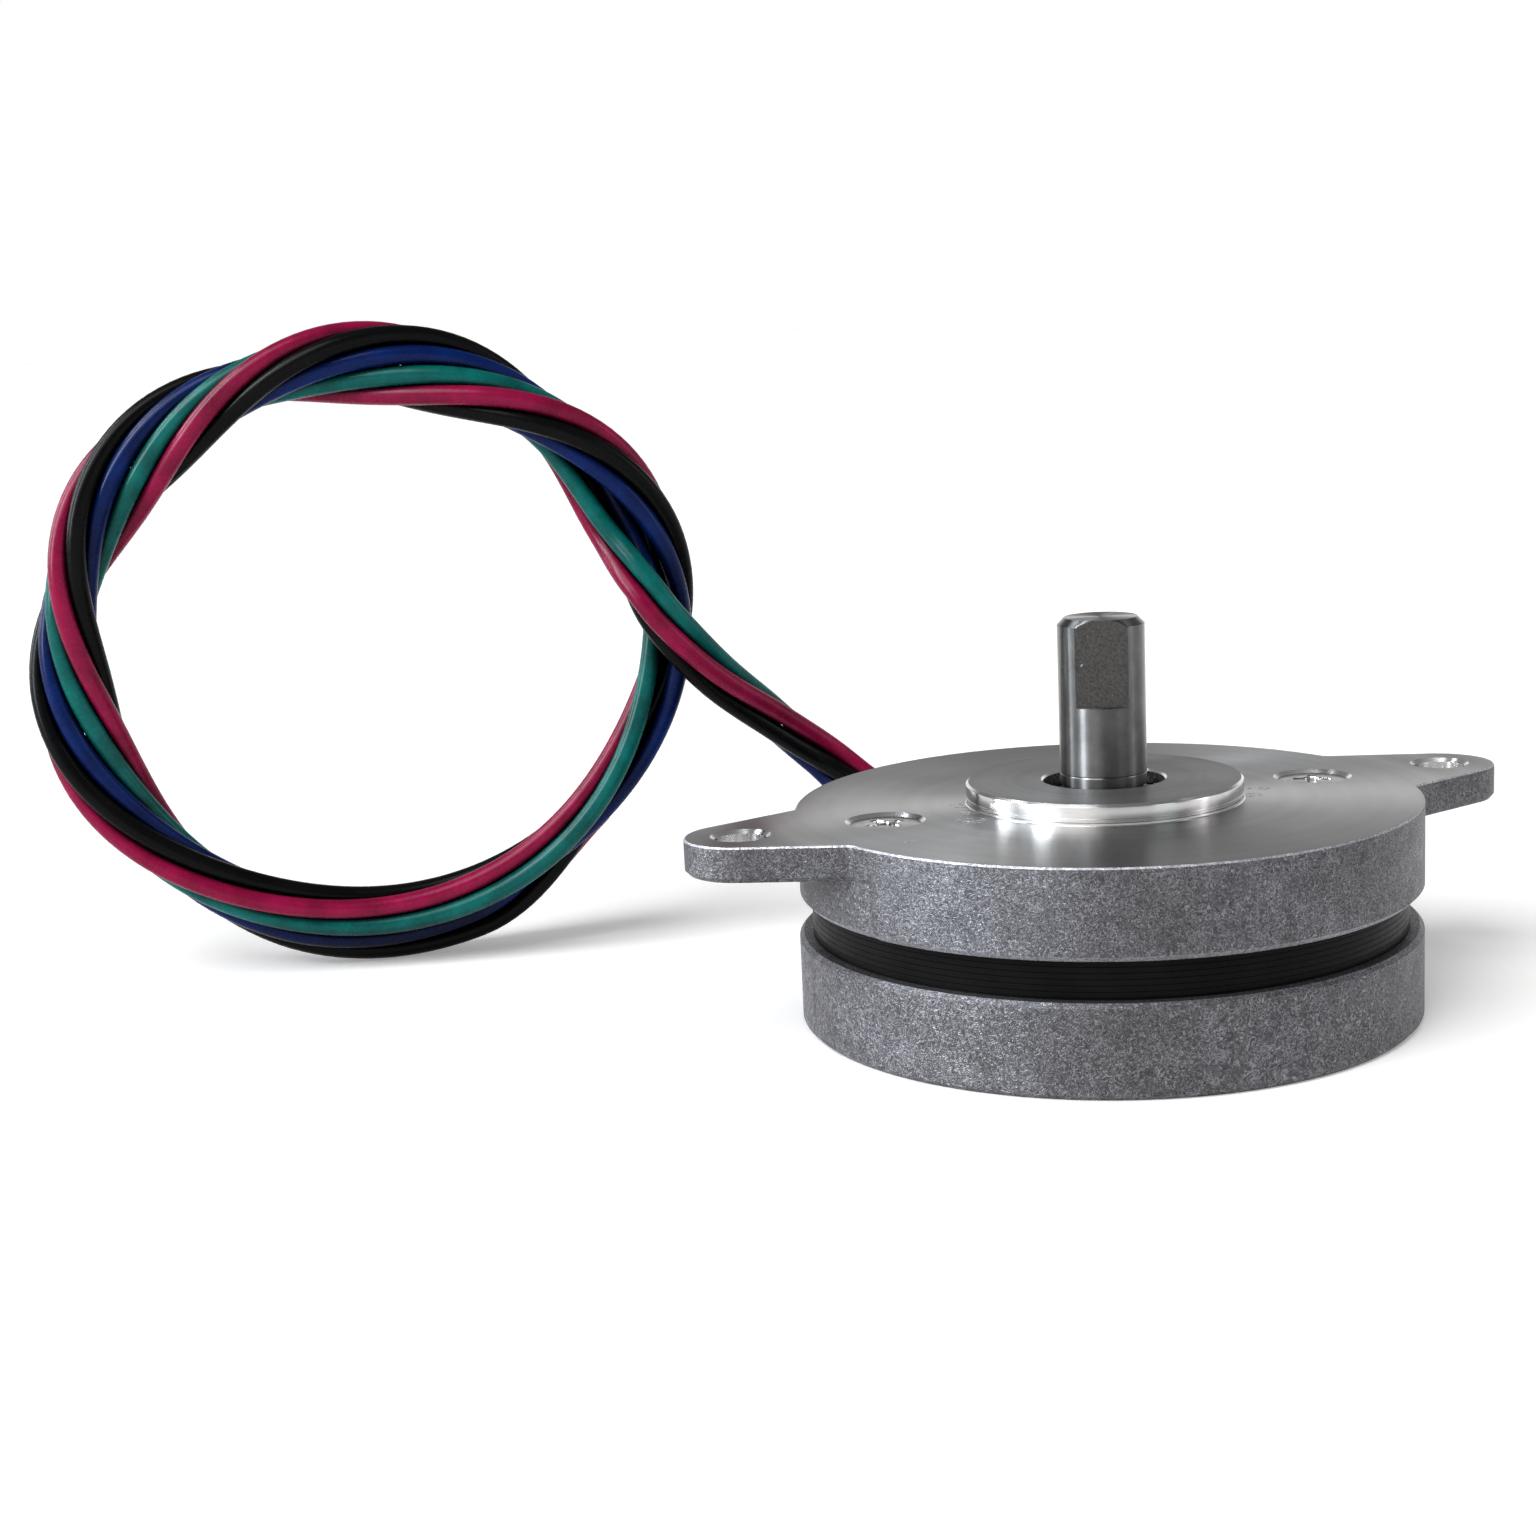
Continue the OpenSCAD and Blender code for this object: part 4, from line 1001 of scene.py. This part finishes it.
def wound_copper():
    """Enamelled wire: a fine wave along the height gives the turns, with painted shade in the
    grooves between them.
    """
    material, tree, shader = new_material("wound_copper")
    sockets = {"Vector": on_object(tree), "Scale": 1300.0, "Distortion": 0.4}
    wave = node(tree, "TexWave", sockets, bands_direction="Z").outputs["Fac"]
    # painted shade: the wave's troughs, the grooves between turns, get the dark copper tone
    tones = [(0.1, (0.20, 0.06, 0.02)), (0.8, (0.62, 0.25, 0.10))]
    wire_up(tree, shader, Base_Color=ramp(tree, wave, tones), Metallic=0.9,
            Roughness=span(tree, wave, 0.0, 1.0, 0.45, 0.22), Normal=bump(tree, wave, 0.8, 0.00005))
    return material


SLOT_FINISH = {
    "black_lamination": grained("black_varnish", (0.0015, 0.004), (0.30, 0.45), 2600, metallic=0.0,
                                depth=0.00002, shine=0.06),
    "insulator": grained("moulded_insulator", (0.62, 0.72), (0.42, 0.58), 1500, 0.0, warm=0.06),
    "copper_winding": wound_copper(),
    "plated_screw": grained("bright_plating", (0.20, 0.34), (0.16, 0.28), 2400, warm=0.02),
    "outlet_block": grained("moulded_black", (0.012, 0.026), (0.45, 0.60), 2200, 0.0, 0.00002),
    "spring_steel": grained("rolled_steel", (0.34, 0.44), (0.24, 0.36), 2600),
    "bearing_steel": ground_steel("bearing_steel", (0.52, 0.62), (0.12, 0.22)),
    "ball_steel": grained("polished_balls", (0.66, 0.72), (0.05, 0.10), 1500, depth=0.000002),
    "cage_brass": grained("pressed_brass", (0.85, 1.0), (0.28, 0.40), 1800, colour=BRASS),
    "rotor_steel": grained("machined_steel", (0.26, 0.34), (0.30, 0.44), 2600, depth=0.00002),
    "magnet": grained("sintered_magnet", (0.05, 0.09), (0.45, 0.62), 3600, 0.6, 0.00003),
    "spacer_brass": grained("turned_brass", (0.85, 1.0), (0.20, 0.32), 2600, colour=TURNED_BRASS),
    "tinned_wire": grained("tinned_strands", (0.34, 0.44), (0.26, 0.40), 3000, warm=0.01),
    "cast_cover": blasted,
}
slot_of = {part["node"]: part["material_slot"] for part in frame["record"]["subparts"]}
for name, part in frame["nodes"].items():
    part.data.materials.clear()
    part.data.materials.append(SLOT_FINISH.get(slot_of[name], SLOT_FINISH["bearing_steel"]))
screws.data.materials.append(SLOT_FINISH["plated_screw"])
for piece in tips.values():
    piece.data.materials.append(SLOT_FINISH["tinned_wire"])
print(len(SLOT_FINISH), "finishes for the parts that come from the frame")

# %% [markdown]
# ## Floor and light
# The photograph is cut out on white, so the floor and the horizon are white. The
# floor is a disc that reaches far beyond the motor, a hair below it, and it glows a
# little, so that it stays white away from the windows.

# %% The floor
FLOOR_RINGS = np.array([0.0, 0.25, 1.0, 6.0, 30.0])
FLOOR_STEP, FLOOR_Z, FLOOR_GLOW = 7.5, -0.00002, 0.22
floor_points = carried_round(FLOOR_RINGS[:, None], np.full(len(FLOOR_RINGS), FLOOR_Z),
                             np.arange(0, 360, FLOOR_STEP))
floor_mesh = bpy.data.meshes.new("floor")
floor_mesh.from_pydata(floor_points.reshape(-1, 3).tolist(), [],
                       grid_faces(*floor_points.shape[:2]).tolist())
floor = add_object("floor", floor_mesh)
floor_material, tree, shader = new_material("pale_floor")
wire_up(tree, shader, Roughness=0.9, Specular_IOR_Level=0.1,
        Base_Color=ramp(tree, noise(tree, 6.0), [(0.3, grey(0.92)), (0.7, grey(0.93))]),
        Emission_Color=(*WHITE, 1.0), Emission_Strength=FLOOR_GLOW)
floor_mesh.materials.append(floor_material)
print("the floor reaches", FLOOR_RINGS[-1], "m from the shaft")

# %% [markdown]
# What makes metal look like metal is what it reflects. A soft sun stands high in
# front, on the left. Cool windows stand on the left and in front on the right, and a
# warmer one on the right. Three narrow panes show in reflections alone and draw the
# bright streaks on the boss and the shaft. The room is white near the horizon and
# grey above, and the white band is taller behind the motor.

# %% The lights
WINDOW_FAR, AIM_AT = 0.9, np.array([0, 0, 0.012])
SUN_STRENGTH, SUN_SPREAD, SUN_TILT = 2.7, 40, (22, -36)


def window(name, azimuth, height, size, glow, colour, shine_only=False):
    """A flat light that faces the motor from one side, as a window would. Its azimuth is counted
    from the front towards the left ear. Its glow is how bright a mirror shows it, so its power is
    the glow times pi times its area."""
    data = bpy.data.lights.new(name, "AREA")
    data.shape, data.size, data.size_y = "RECTANGLE", size[0], size[1]
    data.energy, data.color = glow * np.pi * size[0] * size[1], colour
    place = np.array([-sind(azimuth), -cosd(azimuth), height]) * WINDOW_FAR
    back = unit(place - AIM_AT)
    side = unit(np.cross(UP, back))
    light = add_object(name, data)
    light.matrix_world = pose(np.stack([side, np.cross(back, side), back], axis=1), place)
    light.visible_diffuse = not shine_only


daylight = bpy.data.lights.new("daylight", "SUN")
daylight.energy, daylight.angle = SUN_STRENGTH, np.radians(SUN_SPREAD)
daylight.color = (1.0, 0.99, 0.98)
sun = add_object("daylight", daylight)
sun.rotation_euler = (np.radians(SUN_TILT[0]), np.radians(SUN_TILT[1]), 0)
window("left_window", 85.0, 0.42, (0.40, 0.42), 4.6, (0.80, 0.90, 1.0))
window("left_shine", 78.0, 0.55, (0.22, 0.80), 27.0, (0.88, 0.94, 1.0), shine_only=True)
window("back_left_shine", 118.0, 0.55, (0.20, 0.80), 19.0, (0.88, 0.94, 1.0), shine_only=True)
window("front_right_window", -28.0, 0.45, (0.30, 0.35), 1.2, (0.78, 1.0, 0.97))
window("right_window", -68.0, 0.45, (0.50, 0.40), 1.2, (0.97, 0.92, 0.98))
window("right_shine", -66.0, 0.55, (0.12, 0.80), 4.0, (0.97, 0.94, 1.0), shine_only=True)

world = bpy.data.worlds.new("room")
bpy.context.scene.world = world
world.use_nodes = True
tree = world.node_tree
tree.nodes.clear()
way = node(tree, "SeparateXYZ", {0: node(tree, "TexCoord").outputs["Generated"]}).outputs
front_room, back_room = (
    ramp(tree, way["Z"], [(0.0, WHITE), (white_to, WHITE), (grey_from, grey(v)), (1.0, grey(0.20))])
    for white_to, grey_from, v in ((0.11, 0.28, 0.20), (0.22, 0.40, 0.25)))
behind = span(tree, way["Y"], -0.1, 0.35, 0.0, 1.0)
room = node(tree, "Mix", {0: behind, 6: front_room, 7: back_room}, data_type="RGBA")
background = node(tree, "Background", {"Color": room.outputs[2], "Strength": 1.0})
node(tree, "OutputWorld", {"Surface": background.outputs[0]})
bpy.context.scene.view_settings.view_transform = "Standard"
print("lights:", len(bpy.data.lights))
